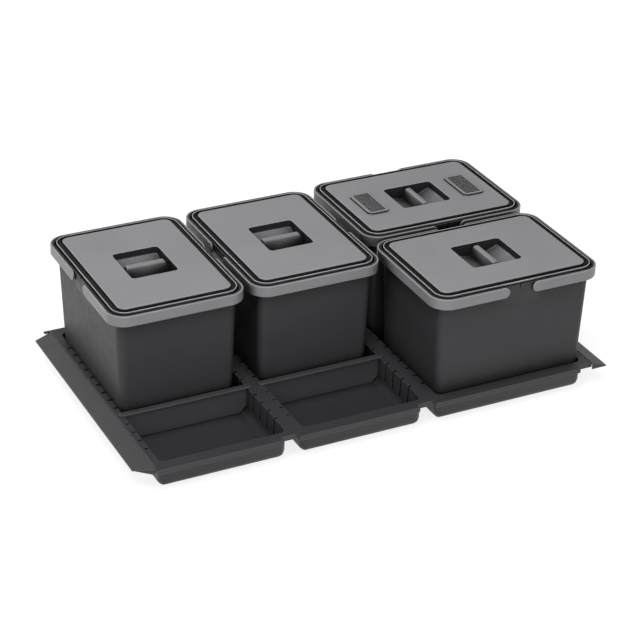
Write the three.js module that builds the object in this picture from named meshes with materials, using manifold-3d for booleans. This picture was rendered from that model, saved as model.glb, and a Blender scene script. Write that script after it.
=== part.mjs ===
// Waste-sorting set for a kitchen drawer: a wide base tray with three tubs, two slot-in dividers and four
// lidded bins. Each bin has two bail handles that fold round its rim, a lift-off lid with a grip bar in a
// finger cup, and a soft strip in the lid's groove. The rear right lid has two vents over filter pads.
// Millimetres, +Z up. X runs along the drawer front, +Y to its back. The origin is the middle of the tray
// on the plane it stands on.

import * as THREE from "three";
import { mergeVertices } from "three/addons/utils/BufferGeometryUtils.js";
import Module from "manifold-3d";

const wasm = await Module();
wasm.setup();

// ---------------------------------------------------------------- driving dimensions

// Bin body. Its plan is a rounded rectangle, measured by half its short side; the long side is longer by
// LONG_EXTRA at every height.
const BASE_HALF = 95.1; // half of the short side at the underside
const LONG_EXTRA = 37.5; // half length less half width
const WALL_SLOPE = 0.0279; // outward lean of the wall for each unit of height
const BODY_CORNER = 14; // plan corner radius of the wall
const BODY_WALL = 2.2;
const BODY_FLOOR = 2.4;
const FOOT_FILLET = 12; // round edge between wall and underside
const BIN_HEIGHT = 225; // underside to the top of the rim ridge

// Rim: a ledge that turns out, a ridge that stands on it and a skirt that hangs from it.
const RIM_REACH = 8.6; // wall to the outer face of ridge and skirt, at the ledge
const RIM_CORNER = 26.8;
const RIDGE_THICK = 2.2;
const RIDGE_ROUND = 0.7;
const LEDGE_DROP = 8.3; // ridge top to ledge
const LEDGE_THICK = 2.2;
const SKIRT_THICK = 2.5;
const SKIRT_DEPTH = 15.3; // ridge top to the skirt's lower edge

// Cheek: the wedge in the middle of each long side that carries the handle pivots.
const CHEEK_HALF = 36;
const CHEEK_DROP = 44; // ridge top to the point where the wedge meets the wall
const SEAM_WIDTH = 1.2;
const SEAM_DEPTH = 0.8;
const SEAM_HEIGHT = 14;

// Bail handles
const HANDLE_GAP = 1.2; // ridge to the band's inner face
const HANDLE_THICK = 3.5;
const HANDLE_HEIGHT = 18.7;
const HANDLE_ROUND = 0.9;
const HANDLE_DROP = 0.5; // ridge top to the band's top edge
const PIVOT_OFFSET = 30.5; // middle of the long side to each pivot
const PIVOT_RADIUS = 3;
const PIVOT_PLAY = 0.3;
const PIVOT_REACH = 1.4; // how far the pivot pin goes into the skirt

// Lid
const SEAT_GAP = 0.3; // between any resting piece and its seat
const LID_GAP = 2.5; // ridge to the lid's edge
const LID_CORNER_EXTRA = 2; // the lid's corners are rounder than the ridge's by this much
const LIP_THICK = 1.5;
const LIP_HEIGHT = 10; // seat to the top of the lip
const PANEL_RISE = 1.9; // panel top over lip top
const PANEL_THICK = 2;
const PANEL_ROUND = 0.8;
const PANEL_CORNER = 14;
const CHANNEL_WIDTH = 10.4; // panel edge to the lip's inner face
const CHANNEL_DEPTH = 6.5; // below the panel top
const PLUG_DEPTH = 8; // how far the lid reaches down inside the bin's mouth
const PLUG_GAP = 0.9;
const PLUG_THICK = 2;
const CHANNEL_FLOOR = 2.2;

// Soft strip in the channel
const STRIP_THICK = 1;
const STRIP_GAP = 0.4; // to each side of the channel
const BEAD_WIDTH = 2.4;
const BEAD_HEIGHT = 1.4;

// Finger cup and grip bar
const CUP_WIDTH = 75.5; // along the short side
const CUP_LENGTH = 86; // along the long side
const CUP_CORNER = 6;
const CUP_END_DEPTH = 11; // at both ends of its length
const CUP_MID_DEPTH = 24; // under the bar
const CUP_WALL = 2;
const BAR_THICK = 11;
const BAR_LENGTH = 64; // at the top; it flares to the cup walls below
const BAR_DROP = 0.4; // bar top below the panel top
const BAR_SHOULDER = 11; // panel top to where the bar meets the cup walls
const BAR_WALL = 2.2;
const BAR_EDGE = 2; // the soft corner at each end of the bar's top: its length and its drop
const BAR_EDGE_DROP = 1.2;
const BAR_FLARE = 1.5; // the steep part below that corner
const BAR_FLARE_DROP = 3.5;

// Vents of the rear right lid
const VENT_OFFSET = 91.7; // lid middle to each vent middle, along the long side
const VENT_LENGTH = 40; // frame size along the long side
const VENT_WIDTH = 79;
const VENT_THICK = 2;
const VENT_CORNER = 5.5;
const VENT_EDGE = 0.7; // bevel round the frame's top
const POCKET_MARGIN = 2.5; // frame edge to the pocket wall
const POCKET_DEPTH = 11;
const POCKET_WALL = 1.6;
const POCKET_LEDGE = 4; // width of the ledge that carries the filter
const POCKET_FLOOR = 1.8;
const VENT_PLUG_GAP = 0.4;
const VENT_PLUG_WALL = 1.4;
const VENT_PLUG_DEPTH = 2.4;
const MESH_LENGTH = 25.6;
const MESH_WIDTH = 66;
const MESH_COUNT_LENGTH = 5;
const MESH_COUNT_WIDTH = 13;
const MESH_BAR = 1.3;
const FILTER_THICK = 5.5;
const FILTER_GAP = 0.5;

// Base tray
const FLANGE_TOP = 48;
const FLANGE_THICK = 2.2;
const TUB_FLOOR = 2;
const TUB_WALL = 2;
const TUB_TAPER = 1; // each inner wall leans in by this much from top to floor
const TUB_CORNER = 10;
const TUB_FILLET = 11;
const SIDE_MARGIN = 14; // outer tubs to the creases
const RAIL_LEFT = 28; // left tub to middle tub
const RAIL_RIGHT = 29; // middle tub to right tub
const NARROW_PLAY = 18.2; // tub width over bin width at flange height
const WIDE_PLAY = 3.2; // right tub width over bin length
const DEPTH_PLAY = 49.4; // tub depth over the widths of two bins
const BACK_MARGIN = 17; // tubs to the flange's back edge
const RAIL_FRONT = 12; // tubs to the front ends of the rails
const RAIL_LIP_DROP = 8.5;
const FRONT_LIP = 21.4; // tubs to the front face of their lips
const FRONT_LIP_DROP = 8.5;
const FRONT_LIP_SHIFT = 13.5; // each lip sits this far to the left of its tub
const LIP_WALL = 2;

// Wings: trimming strips that slope down outside the two creases.
const WING_WIDTH = 27;
const WING_DROP = 9.5;
const WING_THICK = 2;
const WING_FRONT = 15; // tubs to the wings' front ends
const WING_BACK_SHORT = 7; // flange's back edge to the wings' back ends
const EAR_REACH = 10;
const EAR_DEPTH = 6;
const WING_CUT = 25; // length of the left wing's cut front corner
const CREASE_GROOVE_WIDTH = 2.5;
const CREASE_GROOVE_DEPTH = 1;
const CREASE_GROOVE_INSET = 1.5;
const GUSSET_THICK = 2;

// Comb slots that take the dividers
const SLOT_PITCH = 26;
const SLOT_FIRST = 43.9; // tub front to the first slot
const SLOT_COUNT = 14;
const SLOT_WIDTH = 5;
const SLOT_REACH = 6.5; // from the tub wall into the flange
const SLOT_WALL = 1.4;
const SLOT_FOOT = 0.6; // slot bottom above the tub floor

// Dividers
const DIVIDER_SLOT = 4; // counted from the front, from 0
const DIVIDER_THICK = 3.2;
const DIVIDER_END_GAP = 0.5;
const DIVIDER_FOOT_GAP = 1.2; // tub floor to the plate's lower edge
const CAP_WIDTH = 11;
const CAP_THICK = 2.5;
const CAP_CORNER = 4;
const CAP_ROUND = 0.6;
const CAP_OVERHANG = 1; // past the slot's end

// Where the bins stand
const BIN_SIDE_GAP = 0.6; // bin to the left wall of its tub, at flange height
const REAR_BIN_SIDE_GAP = 2.6;
const BIN_DIVIDER_GAP = 2.3; // divider cap to bin
const FRONT_BIN_GAP = 2.1; // front right bin to the tub's front wall
const ROW_GAP = 9; // between the handles of the two right bins

const CORNER_STEPS = 4; // facets in each quarter round of the bins, lids and tray
const HANDLE_STEPS = 6;
const PIN_SIDES = 12;
const EASE = 1; // how far a cutting shape runs past the face it cuts

// ---------------------------------------------------------------- colours

const COLOURS = {
  tray: { color: 0x505053, roughness: 0.55, metalness: 0 },
  divider: { color: 0x3c3c3f, roughness: 0.55, metalness: 0 },
  body: { color: 0x626367, roughness: 0.5, metalness: 0 },
  handle: { color: 0x86878a, roughness: 0.42, metalness: 0 },
  lid: { color: 0xa0a1a3, roughness: 0.42, metalness: 0 },
  strip: { color: 0x1e1e20, roughness: 0.8, metalness: 0 },
  grille: { color: 0xa6a7a9, roughness: 0.45, metalness: 0 },
  filter: { color: 0x161617, roughness: 0.95, metalness: 0 },
};

// ---------------------------------------------------------------- shape helpers

// A closed geometry as a solid that can be joined and cut.
function solid(geometry) {
  const bare = new THREE.BufferGeometry();
  bare.setAttribute("position", geometry.getAttribute("position"));
  bare.setIndex(geometry.index);
  const merged = mergeVertices(bare, 1e-4);
  return new wasm.Manifold(
    new wasm.Mesh({
      numProp: 3,
      vertProperties: new Float32Array(merged.attributes.position.array),
      triVerts: new Uint32Array(merged.index.array),
    }),
  );
}

// A finished solid as a named mesh.
function piece(name, body, look) {
  const made = body.getMesh();
  const geometry = new THREE.BufferGeometry();
  geometry.setAttribute("position", new THREE.BufferAttribute(made.vertProperties, 3));
  geometry.setIndex(new THREE.BufferAttribute(made.triVerts, 1));
  const flat = geometry.toNonIndexed();
  flat.computeVertexNormals();
  const mesh = new THREE.Mesh(flat, new THREE.MeshStandardMaterial(look));
  mesh.name = name;
  return mesh;
}

function box(x0, x1, y0, y1, z0, z1) {
  const shape = new THREE.BoxGeometry(x1 - x0, y1 - y0, z1 - z0);
  return solid(shape.translate((x0 + x1) / 2, (y0 + y1) / 2, (z0 + z1) / 2));
}

// An outline of [a, b] points swept straight along one axis: (x, y) along z, (x, z) along y, (y, z) along x.
function prism(points, from, to, along) {
  const outline = new THREE.Shape(points.map(([a, b]) => new THREE.Vector2(a, b)));
  const shape = new THREE.ExtrudeGeometry(outline, { depth: to - from, bevelEnabled: false });
  if (along === "z") return solid(shape.translate(0, 0, from));
  if (along === "y") return solid(shape.translate(0, 0, -to).rotateX(Math.PI / 2));
  const turn = new THREE.Matrix4().set(0, 0, 1, 0, 1, 0, 0, 0, 0, 1, 0, 0, 0, 0, 0, 1);
  return solid(shape.translate(0, 0, from).applyMatrix4(turn));
}

// A round bar along x.
function pin(radius, x0, x1, y, z) {
  const shape = new THREE.CylinderGeometry(radius, radius, x1 - x0, PIN_SIDES);
  return solid(shape.rotateZ(Math.PI / 2).translate((x0 + x1) / 2, y, z));
}

// The points of a rounded rectangle, counterclockwise seen from above.
function roundedOutline(halfX, halfY, radius, steps) {
  const points = [];
  for (let corner = 0; corner < 4; corner += 1) {
    const cx = (corner === 0 || corner === 3 ? 1 : -1) * (halfX - radius);
    const cy = (corner < 2 ? 1 : -1) * (halfY - radius);
    for (let i = 0; i <= steps; i += 1) {
      const angle = ((corner + i / steps) * Math.PI) / 2;
      points.push([cx + radius * Math.cos(angle), cy + radius * Math.sin(angle)]);
    }
  }
  return points;
}

// A skin through rounded rectangles, listed from the middle of the underside round to the middle of the top.
// The first one is closed by a face that looks down and the last by a face that looks up.
function loft(sections, steps = CORNER_STEPS) {
  const rings = sections.map(({ x, y, r, z }) =>
    roundedOutline(x, y, r, steps).map(([px, py]) => [px, py, z]),
  );
  const count = rings[0].length;
  const index = [];
  for (let ring = 0; ring + 1 < rings.length; ring += 1) {
    for (let i = 0; i < count; i += 1) {
      const a = ring * count + i;
      const b = ring * count + ((i + 1) % count);
      index.push(a, b, b + count, a, b + count, a + count);
    }
  }
  const last = (rings.length - 1) * count;
  for (let i = 1; i + 1 < count; i += 1) {
    index.push(0, i + 1, i);
    index.push(last, last + i, last + i + 1);
  }
  const shape = new THREE.BufferGeometry();
  shape.setAttribute("position", new THREE.Float32BufferAttribute(rings.flat(2), 3));
  shape.setIndex(index);
  return solid(shape);
}

// A straight-sided block with rounded corners.
function block(halfX, halfY, radius, z0, z1, steps = CORNER_STEPS) {
  const section = { x: halfX, y: halfY, r: radius };
  return loft([{ ...section, z: z0 }, { ...section, z: z1 }], steps);
}

// A section of a bin or lid: half its short side, its height and its corner radius.
function section(half, z, radius) {
  return { x: half, y: half + LONG_EXTRA, r: radius, z };
}

// A quarter round of sections from a flat face at `inset` inside the wall to the upright wall.
function filletSections(half, bottom, inset, radius, corner) {
  return [0, 1, 2, 3].map((i) => {
    const angle = (i / 3) * (Math.PI / 2);
    const back = inset * (1 - Math.sin(angle));
    return section(half - back, bottom + radius * (1 - Math.cos(angle)), Math.max(corner - back, 2));
  });
}

// ---------------------------------------------------------------- bin body

const wallHalf = (z) => BASE_HALF + WALL_SLOPE * z;
const mouthHalf = (z) => wallHalf(z) - BODY_WALL;
const LEDGE_TOP = BIN_HEIGHT - LEDGE_DROP;
const LEDGE_UNDER = LEDGE_TOP - LEDGE_THICK;
const RIM_HALF = wallHalf(LEDGE_UNDER) + RIM_REACH;
const SKIRT_BOTTOM = BIN_HEIGHT - SKIRT_DEPTH;
const MOUTH_CORNER = BODY_CORNER - BODY_WALL;
const HANDLE_INNER = RIM_HALF + HANDLE_GAP;
const HANDLE_OUTER = HANDLE_INNER + HANDLE_THICK;
const HANDLE_TOP = BIN_HEIGHT - HANDLE_DROP;
const HANDLE_BOTTOM = HANDLE_TOP - HANDLE_HEIGHT;
const PIVOT_HEIGHT = (HANDLE_TOP + HANDLE_BOTTOM) / 2;

function binBody() {
  const ridgeInner = RIM_HALF - RIDGE_THICK;
  const skirtInner = RIM_HALF - SKIRT_THICK;
  const rimCorner = (half) => RIM_CORNER - (RIM_HALF - half);
  const rim = (half, z) => section(half, z, rimCorner(half));
  const innerFillet = FOOT_FILLET - BODY_WALL;
  const inside = filletSections(
    mouthHalf(FOOT_FILLET), BODY_FLOOR, innerFillet, innerFillet, MOUTH_CORNER,
  ).reverse();
  let body = loft([
    ...filletSections(wallHalf(FOOT_FILLET), 0, FOOT_FILLET, FOOT_FILLET, BODY_CORNER),
    section(wallHalf(LEDGE_UNDER), LEDGE_UNDER, BODY_CORNER),
    rim(skirtInner, LEDGE_UNDER),
    rim(skirtInner, SKIRT_BOTTOM),
    rim(RIM_HALF, SKIRT_BOTTOM),
    rim(RIM_HALF, BIN_HEIGHT - RIDGE_ROUND),
    rim(RIM_HALF - RIDGE_ROUND, BIN_HEIGHT),
    rim(ridgeInner + RIDGE_ROUND, BIN_HEIGHT),
    rim(ridgeInner, BIN_HEIGHT - RIDGE_ROUND),
    rim(ridgeInner, LEDGE_TOP),
    section(mouthHalf(LEDGE_TOP), LEDGE_TOP, MOUTH_CORNER),
    ...inside,
  ]);
  for (const side of [-1, 1]) body = body.add(cheek(side));
  for (const side of [-1, 1]) {
    body = body.subtract(seam(side));
    for (const end of [-1, 1]) body = body.subtract(pivotHole(side, end));
  }
  return body;
}

// The wedge between skirt and wall. `side` is -1 or 1, for the two long sides.
function cheek(side) {
  const foot = BIN_HEIGHT - CHEEK_DROP;
  const insideWall = BODY_WALL / 2; // so that the wedge and the wall share material
  const profile = [
    [wallHalf(foot) - insideWall, foot],
    [wallHalf(foot), foot],
    [RIM_HALF, SKIRT_BOTTOM],
    [RIM_HALF, LEDGE_UNDER + LEDGE_THICK / 2],
    [wallHalf(LEDGE_UNDER) - insideWall, LEDGE_UNDER + LEDGE_THICK / 2],
  ].map(([x, z]) => [side * x, z]);
  return prism(profile, -CHEEK_HALF, CHEEK_HALF, "y");
}

// The fine upright line in the middle of the cheek.
function seam(side) {
  const top = SKIRT_BOTTOM + SEAM_HEIGHT;
  const faces = [side * (RIM_HALF - SEAM_DEPTH), side * (RIM_HALF + EASE)].sort((a, b) => a - b);
  return box(...faces, -SEAM_WIDTH / 2, SEAM_WIDTH / 2, SKIRT_BOTTOM, top);
}

function pivotHole(side, end) {
  const inner = RIM_HALF - PIVOT_REACH - PIVOT_PLAY;
  const faces = [side * inner, side * (RIM_HALF + EASE)].sort((a, b) => a - b);
  return pin(PIVOT_RADIUS + PIVOT_PLAY, ...faces, end * PIVOT_OFFSET, PIVOT_HEIGHT);
}

// ---------------------------------------------------------------- bail handle

// `end` is -1 or 1, for the half of the rim that the handle folds round.
function bailHandle(end) {
  const outerCorner = RIM_CORNER + HANDLE_GAP + HANDLE_THICK;
  const at = (inset, z) => section(HANDLE_OUTER - inset, z, outerCorner - inset);
  const inner = section(HANDLE_INNER, 0, outerCorner - HANDLE_THICK);
  const band = loft(
    [
      at(HANDLE_ROUND, HANDLE_BOTTOM),
      at(0, HANDLE_BOTTOM + HANDLE_ROUND),
      at(0, HANDLE_TOP - HANDLE_ROUND),
      at(HANDLE_ROUND, HANDLE_TOP),
    ],
    HANDLE_STEPS,
  ).subtract(
    block(inner.x, inner.y, inner.r, HANDLE_BOTTOM - EASE, HANDLE_TOP + EASE, HANDLE_STEPS),
  );
  const reach = HANDLE_OUTER + EASE;
  const far = end * (reach + LONG_EXTRA);
  const near = end * PIVOT_OFFSET;
  const half = box(
    -reach, reach, Math.min(near, far), Math.max(near, far), HANDLE_BOTTOM - EASE, HANDLE_TOP + EASE,
  );
  const ends = pin(HANDLE_HEIGHT / 2, -reach, reach, near, PIVOT_HEIGHT);
  let handle = band.intersect(half.add(ends));
  for (const side of [-1, 1]) {
    const tip = side * (RIM_HALF - PIVOT_REACH);
    const root = side * (HANDLE_INNER + HANDLE_THICK / 2);
    handle = handle.add(pin(PIVOT_RADIUS, Math.min(tip, root), Math.max(tip, root), near, PIVOT_HEIGHT));
  }
  return handle;
}

// ---------------------------------------------------------------- lid

const LID_SEAT = LEDGE_TOP + SEAT_GAP;
const LID_HALF = RIM_HALF - RIDGE_THICK - LID_GAP;
const LID_CORNER = RIM_CORNER - RIDGE_THICK - LID_GAP + LID_CORNER_EXTRA;
const LIP_INNER = LID_HALF - LIP_THICK;
const LIP_TOP = LID_SEAT + LIP_HEIGHT;
const PANEL_TOP = LIP_TOP + PANEL_RISE;
const PANEL_UNDER = PANEL_TOP - PANEL_THICK;
const PANEL_HALF = LIP_INNER - CHANNEL_WIDTH;
const CHANNEL_BOTTOM = PANEL_TOP - CHANNEL_DEPTH;
const CHANNEL_UNDER = CHANNEL_BOTTOM - CHANNEL_FLOOR;
const PLUG_HALF = mouthHalf(LEDGE_TOP) - PLUG_GAP;
const PLUG_CORNER = MOUTH_CORNER - PLUG_GAP;

function lidShell() {
  const wellInner = PANEL_HALF - PANEL_THICK;
  const wellCorner = PANEL_CORNER - PANEL_THICK;
  const plugInner = PLUG_HALF - PLUG_THICK;
  const plugBottom = LID_SEAT - PLUG_DEPTH;
  const footInner = LIP_INNER - PANEL_THICK / 2;
  return loft([
    section(wellInner, PANEL_UNDER, wellCorner),
    section(wellInner, CHANNEL_UNDER, wellCorner),
    section(plugInner, CHANNEL_UNDER, PLUG_CORNER - PLUG_THICK),
    section(plugInner, plugBottom, PLUG_CORNER - PLUG_THICK),
    section(PLUG_HALF - PLUG_THICK / 3, plugBottom, PLUG_CORNER - PLUG_THICK / 3),
    section(PLUG_HALF, LID_SEAT, PLUG_CORNER),
    section(PLUG_HALF, CHANNEL_UNDER, PLUG_CORNER),
    section(footInner, CHANNEL_UNDER, LID_CORNER - LID_HALF + footInner),
    section(footInner, LID_SEAT, LID_CORNER - LID_HALF + footInner),
    section(LID_HALF, LID_SEAT, LID_CORNER),
    section(LID_HALF, LIP_TOP, LID_CORNER),
    section(LIP_INNER, LIP_TOP, LID_CORNER - LIP_THICK),
    section(LIP_INNER, CHANNEL_BOTTOM, LID_CORNER - LIP_THICK),
    section(PANEL_HALF, CHANNEL_BOTTOM, PANEL_CORNER),
    section(PANEL_HALF, PANEL_TOP - PANEL_ROUND, PANEL_CORNER),
    section(PANEL_HALF - PANEL_ROUND, PANEL_TOP, PANEL_CORNER - PANEL_ROUND),
  ]);
}

// The cup's outline in (y, z): shallow at both ends, deepest in the middle. `out` grows it by a wall.
function cupProfile(out, top) {
  const half = CUP_LENGTH / 2 + out;
  const points = [[-half, top]];
  const steps = 6;
  for (let i = 0; i <= steps; i += 1) {
    const t = (2 * i) / steps - 1;
    const depth = CUP_MID_DEPTH - (CUP_MID_DEPTH - CUP_END_DEPTH) * t * t;
    points.push([half * t, PANEL_TOP - depth - out]);
  }
  points.push([half, top]);
  return points;
}

function cup(out, top) {
  const halfWidth = CUP_WIDTH / 2 + out;
  const plan = block(
    halfWidth, CUP_LENGTH / 2 + out, CUP_CORNER + out, PANEL_TOP - CUP_MID_DEPTH - out - EASE, top,
  );
  return prism(cupProfile(out, top), -halfWidth - EASE, halfWidth + EASE, "x").intersect(plan);
}

// The bar across the cup, round on top and flared where it meets the cup's walls. `shrink` makes the hollow.
function gripBar(shrink) {
  const top = PANEL_TOP - BAR_DROP - shrink;
  const bottom = PANEL_TOP - CUP_MID_DEPTH - CUP_WALL - (shrink > 0 ? EASE : 0);
  const half = BAR_THICK / 2 - shrink;
  const roundTop = [[-half, bottom]];
  const steps = 6;
  for (let i = steps; i >= 0; i -= 1) {
    const angle = (i / steps) * Math.PI;
    roundTop.push([half * Math.cos(angle), top - half + half * Math.sin(angle)]);
  }
  roundTop.push([half, bottom]);
  const reach = CUP_WIDTH / 2 - (shrink > 0 ? shrink : -CUP_WALL / 2);
  const tip = BAR_LENGTH / 2 - shrink;
  const shoulder = PANEL_TOP - BAR_SHOULDER;
  const side = [
    [-reach, bottom],
    [reach, bottom],
    [reach, shoulder - shrink],
    [tip + BAR_FLARE, top - BAR_FLARE_DROP],
    [tip, top - BAR_EDGE_DROP],
    [tip - BAR_EDGE, top],
    [BAR_EDGE - tip, top],
    [-tip, top - BAR_EDGE_DROP],
    [-tip - BAR_FLARE, top - BAR_FLARE_DROP],
    [-reach, shoulder - shrink],
  ];
  return prism(roundTop, -reach, reach, "x").intersect(prism(side, -half, half, "y"));
}

function plainLid() {
  return lidShell()
    .add(cup(CUP_WALL, PANEL_UNDER + PANEL_THICK / 2))
    .subtract(cup(0, PANEL_TOP + EASE))
    .add(gripBar(0))
    .subtract(gripBar(BAR_WALL));
}

const POCKET_HALF_LENGTH = VENT_LENGTH / 2 - POCKET_MARGIN;
const POCKET_HALF_WIDTH = VENT_WIDTH / 2 - POCKET_MARGIN;
const POCKET_BOTTOM = PANEL_TOP - POCKET_DEPTH;

// A box open at the top, with a ledge round its floor opening, sunk into the lid at each end.
function ventedLid() {
  let lid = plainLid();
  for (const end of [-1, 1]) {
    const y = end * VENT_OFFSET;
    const around = (halfLength, halfWidth, z0, z1) =>
      box(-halfWidth, halfWidth, y - halfLength, y + halfLength, z0, z1);
    lid = lid
      .add(
        around(
          POCKET_HALF_LENGTH + POCKET_WALL, POCKET_HALF_WIDTH + POCKET_WALL,
          POCKET_BOTTOM - POCKET_FLOOR, PANEL_UNDER + PANEL_THICK / 2,
        ),
      )
      .subtract(around(POCKET_HALF_LENGTH, POCKET_HALF_WIDTH, POCKET_BOTTOM, PANEL_TOP + EASE))
      .subtract(
        around(
          POCKET_HALF_LENGTH - POCKET_LEDGE, POCKET_HALF_WIDTH - POCKET_LEDGE,
          POCKET_BOTTOM - POCKET_FLOOR - EASE, POCKET_BOTTOM + EASE,
        ),
      );
  }
  return lid;
}

// The soft strip that lines the channel, with a bead along its middle.
function lidStrip() {
  const bottom = CHANNEL_BOTTOM + SEAT_GAP;
  const inner = PANEL_HALF + STRIP_GAP;
  const outer = LIP_INNER - STRIP_GAP;
  const middle = (inner + outer) / 2;
  const cornerAt = (half) => {
    const share = (half - PANEL_HALF) / CHANNEL_WIDTH;
    return PANEL_CORNER + share * (LID_CORNER - LIP_THICK - PANEL_CORNER);
  };
  const at = (half, z) => section(half, z, cornerAt(half));
  const skin = loft([
    at(outer, bottom),
    at(outer, bottom + STRIP_THICK),
    at(middle + BEAD_WIDTH / 2, bottom + STRIP_THICK),
    at(middle + BEAD_WIDTH / 4, bottom + STRIP_THICK + BEAD_HEIGHT),
    at(middle - BEAD_WIDTH / 4, bottom + STRIP_THICK + BEAD_HEIGHT),
    at(middle - BEAD_WIDTH / 2, bottom + STRIP_THICK),
  ]);
  const hole = at(inner, 0);
  return skin.subtract(block(hole.x, hole.y, hole.r, bottom - EASE, bottom + BEAD_HEIGHT + 2 * EASE));
}

// ---------------------------------------------------------------- vents

// A raised frame with a field of square holes and a short plug that fits into the pocket. `end` is -1 or 1.
function ventGrille(end) {
  const y = end * VENT_OFFSET;
  const bottom = PANEL_TOP + SEAT_GAP;
  const halfWidth = VENT_WIDTH / 2;
  const halfLength = VENT_LENGTH / 2;
  const plugHalfWidth = POCKET_HALF_WIDTH - VENT_PLUG_GAP;
  const plugHalfLength = POCKET_HALF_LENGTH - VENT_PLUG_GAP;
  let grille = loft([
    { x: halfWidth, y: halfLength, r: VENT_CORNER, z: bottom },
    { x: halfWidth, y: halfLength, r: VENT_CORNER, z: bottom + VENT_THICK - VENT_EDGE },
    {
      x: halfWidth - VENT_EDGE, y: halfLength - VENT_EDGE, r: VENT_CORNER - VENT_EDGE,
      z: bottom + VENT_THICK,
    },
  ]);
  const plug = box(
    -plugHalfWidth, plugHalfWidth, -plugHalfLength, plugHalfLength,
    bottom - VENT_PLUG_DEPTH, bottom + VENT_THICK / 4,
  ).subtract(
    box(
      VENT_PLUG_WALL - plugHalfWidth, plugHalfWidth - VENT_PLUG_WALL,
      VENT_PLUG_WALL - plugHalfLength, plugHalfLength - VENT_PLUG_WALL,
      bottom - VENT_PLUG_DEPTH - EASE, bottom + VENT_THICK / 2,
    ),
  );
  grille = grille.add(plug);
  const pitchWidth = MESH_WIDTH / MESH_COUNT_WIDTH;
  const pitchLength = MESH_LENGTH / MESH_COUNT_LENGTH;
  const holeWidth = (pitchWidth - MESH_BAR) / 2;
  const holeLength = (pitchLength - MESH_BAR) / 2;
  for (let i = 0; i < MESH_COUNT_WIDTH; i += 1) {
    for (let j = 0; j < MESH_COUNT_LENGTH; j += 1) {
      const cx = (i + 0.5) * pitchWidth - MESH_WIDTH / 2;
      const cy = (j + 0.5) * pitchLength - MESH_LENGTH / 2;
      grille = grille.subtract(
        box(
          cx - holeWidth, cx + holeWidth, cy - holeLength, cy + holeLength,
          bottom - EASE, bottom + VENT_THICK + EASE,
        ),
      );
    }
  }
  return grille.translate([0, y, 0]);
}

function filterPad(end) {
  const y = end * VENT_OFFSET;
  const halfWidth = POCKET_HALF_WIDTH - FILTER_GAP;
  const halfLength = POCKET_HALF_LENGTH - FILTER_GAP;
  const bottom = POCKET_BOTTOM + SEAT_GAP;
  return box(-halfWidth, halfWidth, y - halfLength, y + halfLength, bottom, bottom + FILTER_THICK);
}

// ---------------------------------------------------------------- base tray

// Bin size where it passes the flange, which sets the size of the tubs.
const BIN_BASE = TUB_FLOOR + SEAT_GAP;
const BIN_HALF_AT_FLANGE = wallHalf(FLANGE_TOP - BIN_BASE);
const BIN_LONG_AT_FLANGE = BIN_HALF_AT_FLANGE + LONG_EXTRA;
const NARROW_TUB = 2 * BIN_HALF_AT_FLANGE + NARROW_PLAY;
const WIDE_TUB = 2 * BIN_LONG_AT_FLANGE + WIDE_PLAY;
const TUB_DEPTH = 4 * BIN_HALF_AT_FLANGE + DEPTH_PLAY;
const CREASE = SIDE_MARGIN + (2 * NARROW_TUB + WIDE_TUB + RAIL_LEFT + RAIL_RIGHT) / 2;

// The three tubs, from left to right, by the inner faces of their walls at flange height.
const LEFT_TUB = { x0: SIDE_MARGIN - CREASE, x1: SIDE_MARGIN - CREASE + NARROW_TUB };
const MIDDLE_TUB = { x0: LEFT_TUB.x1 + RAIL_LEFT, x1: LEFT_TUB.x1 + RAIL_LEFT + NARROW_TUB };
const RIGHT_TUB = { x0: MIDDLE_TUB.x1 + RAIL_RIGHT, x1: CREASE - SIDE_MARGIN };
const TUBS = [LEFT_TUB, MIDDLE_TUB, RIGHT_TUB];
const TUB_FRONT = -TUB_DEPTH / 2;
const TUB_BACK = TUB_DEPTH / 2;
const FLANGE_BACK = TUB_BACK + BACK_MARGIN;
const FLANGE_UNDER = FLANGE_TOP - FLANGE_THICK;

// A tub's inner space, or with `out` the skin round it.
function tubShape(tub, out, top) {
  const halfX = (tub.x1 - tub.x0) / 2;
  const halfY = TUB_DEPTH / 2;
  const bottom = TUB_FLOOR - out;
  const fillet = TUB_FILLET + out;
  const sections = [0, 1, 2, 3].map((i) => {
    const angle = (i / 3) * (Math.PI / 2);
    const z = bottom + fillet * (1 - Math.cos(angle));
    const lean = (TUB_TAPER * (FLANGE_TOP - z)) / (FLANGE_TOP - TUB_FLOOR);
    const back = fillet * (1 - Math.sin(angle)) + lean - out;
    return { x: halfX - back, y: halfY - back, r: Math.max(TUB_CORNER - back, 2), z };
  });
  sections.push({ x: halfX + out, y: halfY + out, r: TUB_CORNER + out, z: top });
  return loft(sections).translate([(tub.x0 + tub.x1) / 2, 0, 0]);
}

const slotY = (index) => TUB_FRONT + SLOT_FIRST + SLOT_PITCH * index;
const SLOT_BOTTOM = TUB_FLOOR + SLOT_FOOT;

// The walls that have a comb: x of the wall, and the direction from the tub into the flange.
const COMBS = [
  { x: LEFT_TUB.x0, out: -1 },
  { x: LEFT_TUB.x1, out: 1 },
  { x: MIDDLE_TUB.x0, out: -1 },
  { x: MIDDLE_TUB.x1, out: 1 },
  { x: RIGHT_TUB.x0, out: -1 },
];

// A box that starts at a comb wall and reaches `reach` into the flange and `back` into the tub.
function combBox(comb, y, halfWidth, reach, back, z0, z1) {
  const ends = [comb.x + comb.out * reach, comb.x - comb.out * back].sort((a, b) => a - b);
  return box(...ends, y - halfWidth, y + halfWidth, z0, z1);
}

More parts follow.
